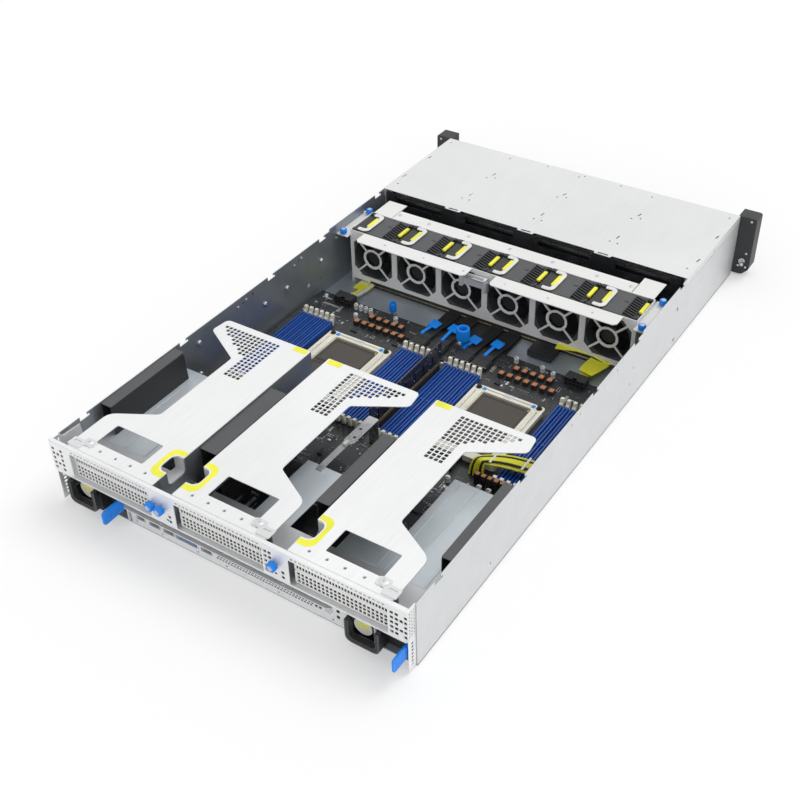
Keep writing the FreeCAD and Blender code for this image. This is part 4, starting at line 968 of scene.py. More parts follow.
def fan(number, x, soft):
    """A lift-out fan: bored frame, ribbed top, white grip with its stripe and the latch bar."""
    body = f"fan_module_{number}"
    front, rear, top = 231.8, 274.8, 79
    housing = Shape("fan_plastic")
    bore = ring_of(x, fan_level, 28.7, 40)
    for span in ((fan_front, front), (rear, fan_rear)):
        housing.sheet(oblong(about(x, 32.5), (9.3, top), 3, 3), [bore], "y", span)
    housing.loft([[lay(a, b, "y", level) for a, b in bore] for level in (front, rear)], closed=False)
    housing.sheet(
        oblong(about(x, 31.5), (10, 78.2), 2, 2), [ring_of(x, fan_level, 29.4, 40)], "y", (front, rear)
    )
    for turn in (30, 150, 270):
        angle = math.radians(turn)
        cos, sin = math.cos(angle), math.sin(angle)
        arm = oblong((11, 28.9), (-1.4, 1.4))
        turned = [(x + a * cos - b * sin, fan_level + a * sin + b * cos) for a, b in arm]
        housing.prism(turned, "y", (228.5, 231.5))
    housing.turned(x, fan_level, "y", [(12, 228.4), (12, 232.6), (2.3, 232.6)], 24)
    housing.use("grey_plastic").prism(oblong((x - 12.5, x + 12.2), (230.5, 276), 1, 2), "z", (top, 79.5))
    housing.use("black_plastic")
    for y in spread(234.4, 9, 4.7):
        tooth = [(x - 27, y + 2.4), (x - 12.4, y - 2.6), (x - 12.4, y - 1.0), (x - 27, y + 4.6)]
        housing.prism(tooth, "z", (top, 81.2))
    housing.block((x - 28.2, x - 26.2), (230, 276.6), (top, 80.3))
    housing.block((x + 12.4, x + 32.2), (231, 275.6), (top, 79.25))
    for y in (229.2, 272.4):
        housing.prism(oblong((x + 24.6, x + 32.4), (y, y + 5.4), 1, 2), "z", (79.2, 81.4))
        housing.prism(oblong((x - 32.4, x - 27), (y, y + 4.6), 1, 2), "z", (79.2, 81.0))
    housing.block((x - 10, x - 4), (247, 248.4), (79.5, 79.9))
    housing.done(f"fan_{number}", body, "fan_plastic", [body], soft)
    grip = Shape("white_plastic")
    bend = rounded(oblong((x + 25.6, x + 13.4), (233.6, 272.6)), [0, 12, 12, 0], 8)
    grip.tube([(a, b, 80.9) for a, b in bend], 3.2, 12, 0.45)
    grip.use("yellow_plastic").prism(oblong((x + 13, x + 18), (241.5, 265), 1.2, 3), "z", (81.2, 82.7))
    grip.prism(oblong((x - 33.0, x - 28.6), (241, 263), 0.8, 3), "z", (79.3, 81.9))
    grip.done(f"fan_grip_{number}", body, "fan_plastic", (), 0.00025)


def rotor(x, y, z, hub, tip, span):
    """A rotor with swept, twisted blades."""
    blades, steps = 7, 6
    shape = Shape("black_plastic")
    shape.turned(x, z, "y", [(hub, span[0]), (hub, span[1] - 1.2), (hub - 1.2, span[1])], 28)
    for blade in range(blades):
        rows = []
        for step in range(steps + 1):
            share = step / steps
            radius = hub - 0.4 + (tip - hub + 0.4) * share
            middle = 2 * math.pi * blade / blades + 0.35 * share
            half = 0.42 * (1 - 0.12 * share)
            rise = (span[1] - span[0]) * 0.42 * (1 - 0.3 * share)
            front = [(middle - half, -rise), (middle, -rise * 0.25), (middle + half, rise)]
            row = []
            for line, half_thick in ((front, -0.5), (front[::-1], 0.5)):
                for angle, along in line:
                    row.append(
                        (x + radius * math.cos(angle), y + along + half_thick, z + radius * math.sin(angle))
                    )
            rows.append(row)
        shape.loft(rows)
    return shape.turned(x, z, "y", [(1.95, span[0] - 5.5), (1.95, span[0] + 0.5)], 12)


def fan_rotors():
    """The rotors of the six fans and of the two supplies."""
    for number, x in enumerate(fan_places, 1):
        body = f"fan_rotor_{number}"
        shape = rotor(x, 253.5, fan_level, 12, 27.4, (234.3, 274.3))
        shape.done(f"rotor_{number}", body, "rotor_plastic", [body])
    for number, left in enumerate(supply_lefts, 1):
        x = left + 55
        shape = rotor(x, 762.5, supply_level, 10.4, 16.9, (757, 768.6))
        shape.turned(x, supply_level, "y", [(10.4, 768.5), (10.4, 780.5), (9.6, 781.2)], 28)
        shape.use("white_plastic").turned(x, supply_level, "y", [(10.2, 781), (10.2, 781.6)], 28)
        shape.use("yellow_plastic")
        for height in (19.4, 23.4):
            shape.prism(oblong(about(x, 7), (height, height + 2.6)), "y", (781.5, 781.7))
        body = f"supply_fan_{number}"
        shape.done(f"supply_rotor_{number}", body, "rotor_plastic", [body])


# The memory sockets in four groups of six, and the middles of the two processors
memory_starts = (197.19, 47.22, -15.99, -164.51)
memory_places = [start - 8.103 * index for start in memory_starts for index in range(6)]
processor_places = (98.5, -109)


def memory_sockets():
    """Slotted blue memory sockets with pale contacts and an ivory latch leaning out at each end."""
    rail = Shape("socket_plastic")
    for x in memory_places:
        section = [(x - 3.2, 9), (x + 3.2, 9), (x + 3.2, 16.2), (x + 2.6, 17), (x + 0.9, 17), (x + 0.9, 12)]
        section += [(x - 0.9, 12), (x - 0.9, 17), (x - 2.6, 17), (x - 3.2, 16.2)]
        rail.use("socket_plastic").prism(section, "y", (393, 535))
        for y in ((391, 393.4), (462, 463.6), (534.6, 537)):
            rail.block(about(x, 3.1), y, (board_top, 16.9))
        rail.use("gold").block(about(x, 0.75), (394, 534), (12, 12.5))
        rail.use("ivory_plastic")
        for end, way in ((391, -1), (537, 1)):
            side = [
                (0, 10), (3.6, 10), (5.0, 16), (6.8, 23), (6.4, 24.4), (2.6, 24.4), (2.0, 19.4), (0, 18.4)
            ]
            rail.prism([(end + way * a, b) for a, b in side], "x", about(x, 2.1))
    rail.done("memory_sockets", "chassis", "socket_blue", ["dimm_sockets"], 0.0002)


def processor_sockets():
    """Ivory frames with springs, posts and corner clips round a brown two-part cover."""
    top = 18.4
    holder = Shape("ivory_plastic")
    for x in processor_places:
        holder.use("ivory_plastic")
        outer = rounded(oblong(about(x, 45), (406, 524)), 4, 4)
        window = oblong(about(x, 32), (415.5, 513.5))
        holder.sheet(outer, [rounded(window, 3, 3)], "z", (16.6, top))
        low = rounded(oblong(about(x, 43), (408, 522)), 3, 3)
        holder.sheet(
            low, [rounded([(a * 0.97 + x * 0.03, b) for a, b in window], 2, 2)], "z", (board_top, 16.6)
        )
        for side in (-1, 1):
            holder.block(mirrored(side, 34, 36, x), (420, 509), (18.3, 19))
            spring = [(x + side * 39.5, y, 18.9 - 0.3 * math.cos(y)) for y in spread(419, 16, 6)]
            holder.use("steel").tube(spring, 0.75, 8)
            for y in (411, 519.5):
                post = [(3.6, top), (3.6, 19.0), (2.4, 19.1), (2.4, 22.4), (1.6, 23)]
                holder.use("black_plastic").turned(x + side * 39, y, "z", post, 18)
                holder.use("steel").turned(x + side * 39, y, "z", [(1.2, 22.7), (0.9, 22.95)], 10)
                holder.use("blue_plastic").block(mirrored(side, 29.5, 34, x), about(y, 2.4), (top, 18.98))
            holder.use("ivory_plastic")
        holder.use("steel").tube([(x + a, 410.5, 18.7) for a in spread(-30, 11, 6)], 0.6, 8)
        holder.use("tin").block(about(x, 6), (407.5, 413), (top, 18.8))
        holder.use("ivory_plastic").turned(
            x + 2, 518.6, "z", [(4, top), (4, 18.9), (2.6, 18.9), (2.6, 18.6)], 20
        )
    holder.done("processor_frames", "chassis", "socket_frame", ["cpu_sockets"], 0.0003, 2)
    cover = Shape("socket_cover")
    for x in processor_places:
        cover.use("black_plastic").block(about(x, 31.6), (415.9, 513.1), (board_top, 15.0))
        cover.use("socket_cover")
        for low, high in ((416.6, 463.6), (464.4, 512.4)):
            cover.prism(rounded(oblong(about(x, 31), (low, high)), 2.5, 3), "z", (15.0, 16.8))
            rim = oblong(about(x, 29), (low + 2, high - 2), 1.5, 2)
            cover.sheet(rim, [oblong(about(x, 27), (low + 4, high - 4), 1.5, 2)], "z", (16.8, 17.3))
        cover.use("gold").prism([(x - 30, 418), (x - 27, 418), (x - 30, 421)], "z", (16.8, 16.95))
    cover.done("processor_covers", "chassis", "socket_frame", (), 0.0002)


def choke(shape, x, y, size, height):
    """A dark moulded coil whose wound top shows between two end caps."""
    half = size / 2
    top = board_top + height
    shape.use("chip_epoxy").block(about(x, half), about(y, half), (board_top, top - 0.8))
    for low, high in ((x - half, x - half + 0.6), (x + half - 0.6, x + half)):
        shape.block((low, high), about(y, half), (top - 0.8, top))
    shape.use("copper").block(about(x, half - 0.6), about(y, half - 0.4), (top - 0.8, top + 0.1))


def can(shape, x, y, radius, height):
    """A round capacitor with a crimped foot and a dark band on its end."""
    top = board_top + height
    profile = [(radius, 9.4), (radius, 10.2), (radius * 0.9, 10.7), (radius, 11.2)]
    profile += [(radius, top - 0.5), (radius * 0.86, top)]
    shape.use("can_shell").turned(x, y, "z", profile, 18)
    shape.use("chip_epoxy").prism(ring_of(x, y, radius * 0.8, 18)[:9], "z", (top, top + 0.05))


def chip(shape, x, y, across, along):
    """A flat chip with a dot in a corner and bare legs along two sides."""
    left, front, pitch = x - across / 2, y - along / 2, 1.3
    shape.use("chip_epoxy").block(about(x, across / 2), about(y, along / 2), (9.2, 10.6))
    shape.use("tin")
    for leg in spread(front + 0.8, max(1, int(along / pitch) - 1), pitch):
        shape.block(about(x, across / 2 + 0.9), (leg, leg + 0.5), (9.02, 9.4))
    shape.use("white_label").disc(left + 1.2, front + 1.2, 0.45, "z", (10.6, 10.64), 8)


# Each chip's place, its width and its length
chip_places = (
    (62, 358, 12, 12), (-64, 352, 9, 9), (126, 381, 8, 10), (66, 381, 7, 7), (-80, 383, 9, 6),
    (-190, 356, 10, 10), (196, 364, 8, 12), (2, 377, 10, 7), (-60, 560, 12, 12), (44, 566, 14, 14),
    (90, 596, 9, 9), (100, 640, 16, 16), (112, 690, 12, 12), (-110, 610, 18, 18), (-116, 680, 10, 14),
    (-20, 735, 14, 14), (62, 748, 10, 10), (-70, 750, 12, 9), (-110, 742, 9, 9), (14, 700, 11, 11),
    (-60, 620, 8, 8), (46, 612, 8, 6), (24, 592, 6, 10),
)
front_cans = (
    (152, 341.5), (144.5, 341.5), (137, 341.5), (129.5, 341.5), (140, 360), (92, 341), (-78, 336),
    (-113, 336), (-129, 340),
)
rear_cans = (
    (-129.4, 564.6), (-153.5, 555.6), (-165, 555.3), (-118, 560), (108, 556), (118, 556), (96, 560),
    (128, 548),
)
header_places = ((88, 585), (94, 585), (-92, 590), (-100, 640), (-100, 655), (118, 620), (118, 634))
board_screws = ((-195, 336), (203, 336), (0, 337), (-100, 762), (118, 762), (120, 570), (-125, 572))
flat_lead_places = (42, 16, -20.5, -45)


def board_blocks():
    """Coils, cans, plugs and chips that stand on the main board."""
    parts = Shape("chip_epoxy")
    for x in processor_places:
        for y, count in ((352, 5), (369, 7)):
            for place in spread(x - (count - 1) * 5.5, count, 11):
                choke(parts, place, y, 7, 6)
    for place in spread(-165.1 - 19, 6, 7.6):
        choke(parts, place, 546, 5.6, 14.8)
    for x, y in front_cans:
        can(parts, x, y, 2.9, 7.5)
    for x, y in rear_cans:
        can(parts, x, y, 3.1, 7)
    for x in flat_lead_places:
        parts.use("black_plastic").block(about(x, 11), (356, 372), (board_top, 13.4))
        parts.block(about(x, 9.6), (357.4, 371), (13.4, 15))
        parts.use("tin").block(about(x, 10.4), (370.6, 371.8), (board_top, 14.2))
    for x in (172, -158):
        pins = [
            oblong(about(p, 1.6), (a, a + 3.2), 0.4, 1) for p in spread(x - 10, 5, 5) for a in (10.4, 15.4)
        ]
        parts.use("black_plastic").sheet(oblong(about(x, 13), (board_top, 20)), pins, "y", (330, 344))
        parts.block(about(x, 3), (341, 344), (19.8, 20))
    for x, y, across, along in chip_places:
        chip(parts, x, y, across, along)
    parts.use("black_plastic").block((-113.6, -109.8), (519, 544.5), (board_top, 17))
    parts.use("ivory_plastic").block((-112.4, -111), (521, 542), (17, 17.2))
    for x, y in header_places:
        parts.use("black_plastic").block(about(x, 1.3), (y, y + 12.7), (board_top, 11.5))
        parts.use("gold")
        for pin in spread(y + 1, 5, 2.54):
            parts.block(about(x, 0.3), (pin, pin + 0.6), (11.5, 17.5))
    parts.use("tin").turned(10, 728, "z", [(10, 9), (10, 11.4), (9.4, 12.2)], 28)
    for x, y in board_screws:
        parts.use("tin").turned(x, y, "z", [(3.4, 9), (3.2, 9.3), (2.6, 11.0), (1.4, 11.3)], 16)
    parts.done("board_blocks", "chassis", "board_component", ["board_parts"], 0.00015)


# Fields of the board that larger parts cover: across and along
kept_free = [
    ((155, 189), (328, 346)), ((-175, -141), (328, 346)), ((-8, 0), (386, 540)), ((-14, 0), (336, 348)),
    ((-64, -26), (630, 670)), ((5, 43), (630, 670)), ((57, 80.5), (598, 720)), ((-83, -65.5), (598, 720)),
    ((-26, -9), (548, 552)), ((-26, -9), (646, 651)), ((-153, -126), (526, 545)),
    ((-190, -143), (542, 550)), ((-5, 25), (714, 742)), ((0, 131.5), (762, 779)),
    ((-116, -108), (517, 546)),
]
# Fields over which the small parts are scattered: across, along and their share of them
scatter_areas = (
    ((-212, 212), (331, 388), 0.34), ((-140, 128), (541, 585), 0.2), ((-138, 128), (586, 762), 0.42),
    ((-60, 50), (388, 540), 0.02), ((-210, -150), (548, 576), 0.02),
)


def clear_of(x, y, reach, taken):
    """Whether a small part keeps off every larger one."""
    return not any(a[0] - reach < x < a[1] + reach and b[0] - reach < y < b[1] + reach for a, b in taken)


def small_parts(count):
    """A seeded scatter of resistors, capacitors and small chips in lines, like a placed board."""
    dice = random.Random(2407)
    taken = [(about(x, 4), (384, 544)) for x in memory_places]
    taken += [(about(x, 46), (404, 526)) for x in processor_places]
    taken += [(about(x, 6 * c), about(y, 5)) for x in processor_places for y, c in ((352, 5), (369, 7))]
    taken += [(about(x, 12), (330, 374)) for x in flat_lead_places]
    taken += kept_free
    parts = Shape("ceramic")
    made = 0
    while made < count:
        roll = dice.random()
        for across, along, share in scatter_areas:
            roll -= share
            if roll <= 0:
                break
        x, y = dice.uniform(*across), dice.uniform(*along)
        row = dice.choice((1, 1, 2, 3, 5, 7))
        big = dice.random() < 0.08
        length, width = (3.4, 2.6) if big else dice.choice(((1.0, 0.5), (1.6, 0.8), (2.0, 1.25)))
        turned = dice.random() < 0.5
        kind = dice.choice(("ceramic", "can_shell", "chip_epoxy", "tin", "white_label"))
        made += row
        for step in range(row):
            shift = step * (width + 0.9)
            a, b = (x, y + shift) if turned else (x + shift, y)
            if not (across[0] < a < across[1] and along[0] < b < along[1] and clear_of(a, b, 1.5, taken)):
                continue
            half = (length / 2, width / 2) if turned else (width / 2, length / 2)
            height = 1.1 if big else width * 0.7
            if kind == "white_label":
                parts.use(kind).block(about(a, half[0]), about(b, 0.12), (board_top, 9.04))
                continue
            ends = (board_top, board_top + height * 0.9)
            parts.use("tin").block(about(a, half[0]), about(b, half[1]), ends)
            inner = (half[0] * 0.55, half[1] * 1.02) if turned else (half[0] * 1.02, half[1] * 0.55)
            parts.use(kind).block(about(a, inner[0]), about(b, inner[1]), (board_top, board_top + height))
    parts.done("small_parts", "chassis", "board_component")


def upright_boards():
    """The centre board with its gold edge, the rail behind it, the post and the blue knob."""
    board = Shape("card_mask")
    board.prism(rounded(oblong((388, 538), (18, 45)), 1.2, 2), "x", (-4.8, -3.2))
    board.use("gold").block((-4.85, -3.15), (390, 536), (44.2, 44.9))
    board.use("black_plastic").block((-7.2, -0.8), (396, 530), (board_top, 16.6))
    board.use("gold").block((-4.9, -3.1), (398, 528), (16.6, 18.4))
    dice = random.Random(88)
    for _ in range(70):
        y, z = dice.uniform(391, 533), dice.uniform(20, 42)
        board.use(dice.choice(("white_label", "tin", "ceramic", "chip_epoxy")))
        board.block((-5.2, -2.8), (y, y + dice.choice((0.6, 1.0, 1.8))), (z, z + dice.choice((0.5, 1.0))))
    board.use("chip_epoxy")
    for y in spread(398, 7, 19):
        board.block((-6.0, -2.0), (y, y + 11), (24, 35))
    board.done("centre_card", "chassis", "board_black", (), 0.0001)
    rail = Shape("steel")
    top = [
        (-24, 549), (-11, 549), (-11, 596), (-12.5, 600), (-12.5, 649), (-20, 649), (-20, 600), (-24, 596)
    ]
    holes = [ring_of(-16.3, 572.7, 1.7, 12), ring_of(-18.7, 587.4, 1.7, 12)]
    rail.sheet(rounded(top, 1.2, 2), holes, "z", (45, 46))
    rail.block((-24, -11), (550, 551), (board_top, 45))
    rail.block((-20, -12.5), (648, 649), (board_top, 45))
    rail.use("white_plastic").block((-19.8, -15.4), (598, 605), (46, 49))
    rail.done("card_rail", "chassis", "board_component", (), 0.0002)
    knob = Shape("blue_plastic")
    profile = [
        (2.6, 9), (2.6, 19.4), (6.6, 20), (8.2, 21.6), (8.4, 35.6), (7.6, 36.8), (5.6, 36.8), (5.1, 36)
    ]
    profile += [(4.9, 27), (0.3, 27)]
    knob.turned(-7, 342, "z", profile, 28)
    knob.done("guide_knob", "chassis", "screw_blue", (), 0.0)
    post = Shape("blue_plastic")
    profile = [
        (4.2, 7.6), (4.6, 8.4), (4.6, 19.6), (4.0, 20.8), (2.6, 20.8), (2.4, 20), (2.3, 14), (0.3, 14)
    ]
    post.turned(110, 320, "z", profile, 24)
    for turn in range(12):
        a, b = math.cos(turn * math.pi / 6) * 4.55, math.sin(turn * math.pi / 6) * 4.55
        post.block(about(110 + a, 0.35), about(320 + b, 0.35), (board_top, 19))
    post.use("steel").turned(110, 320, "z", [(4.9, 1.3), (4.9, 2.4), (3.0, 2.8), (3.0, 7.6)], 20)
    post.done("guide_post", "chassis", "screw_blue", (), 0.0002)


def cooler(shape, x, y):
    """A black finned cooling block with two screws."""
    shape.use("chip_epoxy").block(about(x, 18), about(y, 18), (board_top, 12.4))
    shape.use("fan_plastic")
    for place in spread(x - 18, 13, 2.93):
        for low, high in ((y - 18, y - 6.4), (y - 5.4, y + 6), (y + 7, y + 18)):
            shape.block((place, place + 0.9), (low, high), (12.4, 25))
    for a, b in ((-12.2, 13.2), (13, -12.4)):
        shape.use("tin").turned(x + a, y + b, "z", [(2.0, 12.4), (2.0, 20), (2.6, 20.2), (2.6, 21.4)], 12)


def coolers():
    """Both cooling blocks."""
    shape = Shape("fan_plastic")
    for x in (-45, 24):
        cooler(shape, x, 650)
    shape.done("cooling_blocks", "chassis", "board_component")


def duct(shape, left, right, low):
    """An air baffle: two thin walls, a grey top and a front end."""
    front, rear = 600, 717.7
    side = rounded([(front, low), (rear, low), (rear, 81), (front + 2, 81)], [0, 0, 3, 6], 3)
    shape.use("black_film_and_shade")
    for wall in ((left, left + 1.2), (right - 1.2, right)):
        shape.sheet(side, [], "x", wall)
    shape.use("grey_plastic")
    shape.sheet(oblong((left, right), (front + 1, rear), 1.6, 3), [], "z", (81, 82))
    shape.block((left + 1.2, right - 1.2), (front + 2, front + 3), (low, 81))


def ducts():
    """The four baffles between the riser cages and at the walls."""
    shape = Shape("black_film_and_shade")
    for left, right, low in (
        (58, 79.5, board_top), (-82, -66.5, board_top), (203, 217.5, 44), (-217.5, -207, 44)
    ):
        duct(shape, left, right, low)
    shape.done("air_baffles", "chassis", "board_component", (), 0.0002)


def smooth_line(route):
    """The places along the smooth line that a cord's route controls."""
    curve = bpy.data.curves.new("route", "CURVE")
    curve.dimensions = "3D"
    curve.resolution_u = 6
    spline = curve.splines.new("NURBS")
    spline.points.add(len(route) - 1)
    for point, place in zip(spline.points, route):
        point.co = (*place, 1)
    spline.order_u = 3
    spline.use_endpoint_u = True
    holder = bpy.data.objects.new("route", curve)
    line = bpy.data.meshes.new_from_object(holder)
    places = [tuple(vert.co) for vert in line.vertices]
    bpy.data.objects.remove(holder)
    bpy.data.curves.remove(curve)
    bpy.data.meshes.remove(line)
    return places


def strand(shape, route, radius, sides=8):
    """One cord: a tube that follows the smooth line of its route."""
    shape.tube(smooth_line(route), radius, sides)


def ribbon(near, far):
    """A section of a flat band between its two edges, 0.8 thick."""
    return [near, far] + [(x, y, z + 0.8) for x, y, z in (far, near)]


def pull_tab(shape, x, y, end):
    """A square blue paddle on a narrow stem that bends down to its plug."""
    paddle = rounded(
        [(x - 7.6, y - 5.4), (x + 6.2, y - 8.6), (x + 7.8, y + 5.0), (x - 6.0, y + 8.0)], 1.4, 3
    )
    shape.loft([[(a, b, 16.2 - (b - y) * 0.02 + lift) for a, b in paddle] for lift in (0, 1.1)])
    left, right = about(end, 1.9)
    stem = [(x - 0.6, y + 5), (x + 3.2, y + 4.4), (right, 346), (right, 351), (left, 351), (left, 347)]
    shape.loft([[(a, b, level + (351 - b) * 0.08) for a, b in stem] for level in (14.1, 15.2)])


def cords():
    """Ribbed flat cables with their tabs, the corner leads and the bundle to the right-hand wall."""
    flat = Shape("rubber")
    for x in flat_lead_places:
        for place in spread(x - 7.2, 5, 3.6):
            route = [(place, 177.6, 4), (place, 304, 4), (place, 325, 11.8), (place, 356, 11.8)]
            strand(flat, route, 1.84)
        flat.use("black_film_and_shade").block(about(x, 9), (346, 356), (9.4, 14.2))
        flat.use("rubber")
    flat.use("black_film_and_shade").block((-56, 54), (281, 346), (3.0, 3.3))
    for x, y, end in ((42, 328, 47), (16, 324, 18), (-18, 331, -13), (-46, 325, -42.6)):
        pull_tab(flat.use("blue_plastic"), x, y, end)
    for place, kind in ((169, "white_plastic"), (174.6, "yellow_plastic")):
        route = [(place, 178, 4.2), (place, 304, 4.2), (place, 322, 11.8), (place, 330, 11.8)]
        strand(flat.use(kind), route, 2.4, 12)
    for place in spread(-163.3, 8, 1.5):
        route = [(place, 178, 3.4), (place, 304, 3.4), (place, 322, 12), (place, 330, 12)]
        strand(flat.use("yellow_plastic"), route, 0.75, 6)
    flat.use("black_plastic").block((-110, -78), (285, 309), (3.3, 11.4))
    for y in spread(287.5, 6, 3.8):
        flat.block((-79, -77.4), (y, y + 1.2), (4, 10.6))
    near = ((-104, 278, 12.2), (-128, 269, 12.2), (-150, 271, 11.4), (-172, 272, 9.6), (-178, 279, 8.6))
    far = ((-106, 291, 12.2), (-131, 282.5, 12.2), (-151, 280, 11.4), (-166, 283, 9.6), (-170, 286, 8.6))
    flat.use("yellow_plastic").loft([ribbon(*edges) for edges in zip(near, far)])
    folds = ((-150, -176, 282, 9.6), (-149, -172, 300, 11.2), (-149.6, -168, 314, 12.4))
    flat.loft([ribbon((a, y, level), (b, y + 4, level)) for a, b, y, level in folds])
    flat.use("white_plastic").block((165.4, 187), (268, 283), (5.2, 6.2))
    flat.use("yellow_plastic").block((165.4, 187), (283, 299), (5.2, 6.4))
    dice = random.Random(31)
    for index in range(13):
        layer, row = divmod(index, 7)
        x, y, z = -131 - row * 2.4, 532 + 2 * layer, (25.9, 28.6)[layer]
        side = row * 3.0
        wave = dice.uniform(-0.5, 0.5)
        flat.use("yellow_plastic" if index % 4 else "rubber")
        route = [(x, y + 3, 9.2), (x, y, z), (-143 - side * 0.3, 521 + side * 0.55 + wave, z)]
        route += [(-174, 504.5 + side, z), (-217.3, 502.5 + side * 0.9, z + wave)]
        strand(flat, route, 1.25)
    flat.use("white_plastic")
    for x, ends in ((-152, (509, 531)), (-186, (502, 524))):
        flat.block(about(x, 1.2), ends, (30.0, 30.3))
    flat.done("held_cords", "chassis", "cable_black", ["cables"])


def supply(number, left, soft):
    """A power supply: case, black face, proud fan frame, inlet and pull handle, and its blue latch."""
    body = f"power_supply_{number}"
    low, high = left + 0.3, left + 72.8
    fan_x, inlet_x, level = left + 55, left + 22, supply_level
    case = Shape("cage_sheet")
    profile = oblong((low, high), (1.5, supply_roof), 1, 2)
    bore = ring_of(fan_x, level, 18, 40)
    inlet = oblong(about(inlet_x, 12), (12.5, 30.5), 1.5, 3)
    case.loft([[(x, y, z) for x, z in profile] for y in (supply_front, 770)], closed=False)
    vents = [slit(x, z, 9, 2.6) for x in spread(low + 10, 6, 10.6) for z in (10, 18, 26, 34)]
    case.sheet(profile, vents, "y", (supply_front, 587))
    case.use("black_plastic").sheet(profile, [bore, inlet], "y", (770, supply_face))
    case.use("steel").loft([[(x, y, z) for x, z in bore] for y in (749, 770)], closed=False)
    case.use("black_plastic")
    case.sheet(oblong((fan_x - 20.5, fan_x + 17.6), (2.2, 41.2), 2, 3), [bore], "y", (supply_face, 783))
    case.disc(fan_x, level, 17.9, "y", (748.6, 749.2), 32)
    case.block(about(inlet_x, 12), (754.6, 755.2), (12.5, 30.5))
    case.loft([[(x, y, z) for x, z in inlet] for y in (755, supply_face)], closed=False)
    case.use("can_shell")
    wire = rounded(oblong(about(fan_x, 15.6), (7.2, 38.4)), 7, 5)
    case.tube([(x, 784.6, z) for x, z in wire + wire[:1]], 1.2, 8)
    case.use("tin").prism(oblong(about(fan_x, 17), (7.4, 9.2), 0.4, 1), "y", (783, 785.4))
    for turn in (45, 135, 225, 315):
        a = fan_x - 1.2 + 19.4 * math.cos(math.radians(turn))
        b = level + 19.4 * math.sin(math.radians(turn))
        case.turned(a, b, "y", [(1.9, 783), (1.7, 784), (0.9, 784.2)], 12)
    for pin in (-6, 0, 6):
        case.block(about(inlet_x + pin, 1), (755, 765), (19.5, 23.5))
    case.use("tin")
    for place in (left + 15, left + 26):
        case.block(about(place, 0.7), (supply_face, 773.4), (36, 41.2))
    pull_handle(case, fan_x - 9)
    x, y = left + 3, 776
    case.use("cage_sheet")
    for height in (17.7, 37.3):
        case.block(about(x, 2.2), (supply_face, 778.2), (height, height + 2))
    case.block((low, low + 0.9), (supply_face, 781), (3, 41))
    case.use("steel").turned(x, y, "z", [(1.5, 17.7), (1.5, 39.3)], 14)
    case.use("white_label").block((left + 27, left + 50), (700, 740), (supply_roof, 41.6))
    case.done(f"supply_{number}", body, "supply_sheet", [body], soft)
    paddle = Shape("blue_plastic")
    paddle.turned(x, y, "z", [(2.6, 20), (2.6, 37), (1.56, 37), (1.56, 20)], 20)
    side = rounded(oblong((778, 811), (20, 37)), [0, 4, 4, 0], 5)
    paddle.prism(side, "x", about(x, 1.3))
    for place in spread(787, 8, 2.8):
        rib = rounded(oblong((place, place + 1.3), (22, 35)), 0.5, 2)
        paddle.prism(rib, "x", about(x, 1.7))
    latch = f"supply_latch_{number}"
    paddle.done(f"latch_{number}", latch, "latch_blue", [latch], 0.0004)


def pull_handle(shape, x):
    """The thick U-shaped pull of a supply, with a paler rim and two arms to the case."""
    outlines = []
    for half, low, radius in ((19, 13.5, 8), (-14.2, 19, 5), (-17.4, 15.4, 7)):
        bend = [(x - half, 41), (x - half, low), (x + half, low), (x + half, 41)]
        outlines.append(rounded(bend, [0, radius, radius, 0], 6))
    outer, inner, rim = outlines
    shape.use("black_plastic").prism(outer + inner, "y", (790, 796.6))
    shape.use("grey_plastic").prism(outer + rim, "y", (796.6, 797))
    shape.use("black_plastic")
    for side in ((x - 19, x - 14.2), (x + 14.2, x + 19)):
        shape.prism(oblong((771, 792), (35, 41)), "x", side)


# Places on a side wall, as depth and height
wall_dimples = (
    (60.3, 29.4), (179.7, 58.5), (204.2, 27.4), (352.8, 28.6), (470.9, 29.4), (616.2, 26.9), (747, 25.4)
)
wall_slots = (
    (194.9, 53.6), (321.3, 47.1), (326.8, 27), (369.5, 74.4), (460.3, 75.3), (479.1, 73), (645.9, 16.4)
)
wall_studs = ((323.6, 51), (396.3, 49), (440.4, 50), (561, 65), (566, 23), (223, 72))
wall_bores = ((197.5, 55.5, 6.4, 3, 90), (196, 10, 6, 4.6, 0))
small_studs = ((378.1, 71.7), (363.4, 75), (489, 72.3), (473.3, 75))
notches = (190, 317.5, 423.6, 584.3, 741)
standoffs = (
    (-197.8, 337), (0, 337), (197.8, 337), (-197.8, 570), (0, 570), (197.8, 570), (-120.4, 764),
    (120.4, 764),
)


def wall_outline():
    """A side wall seen from the side, with the hooked notches in its top edge."""
    marks = [(0, 0), (body_rear, 0), (body_rear, wall_top)]
    for place in notches[::-1]:
        top = wall_top
        if place == notches[0]:
            top = lid_under
            marks += [(302.3, wall_top), (301.4, lid_under)]
        floor = top - 5.5
        marks += [(place + 7, top), (place + 7, floor), (place - 7, floor), (place - 7, top - 2.75)]
        marks += [(place - 3.5, top - 2.75), (place - 3.5, top)]
    return marks + [(175.4, lid_under), (175.4, 76), (0, 76)]


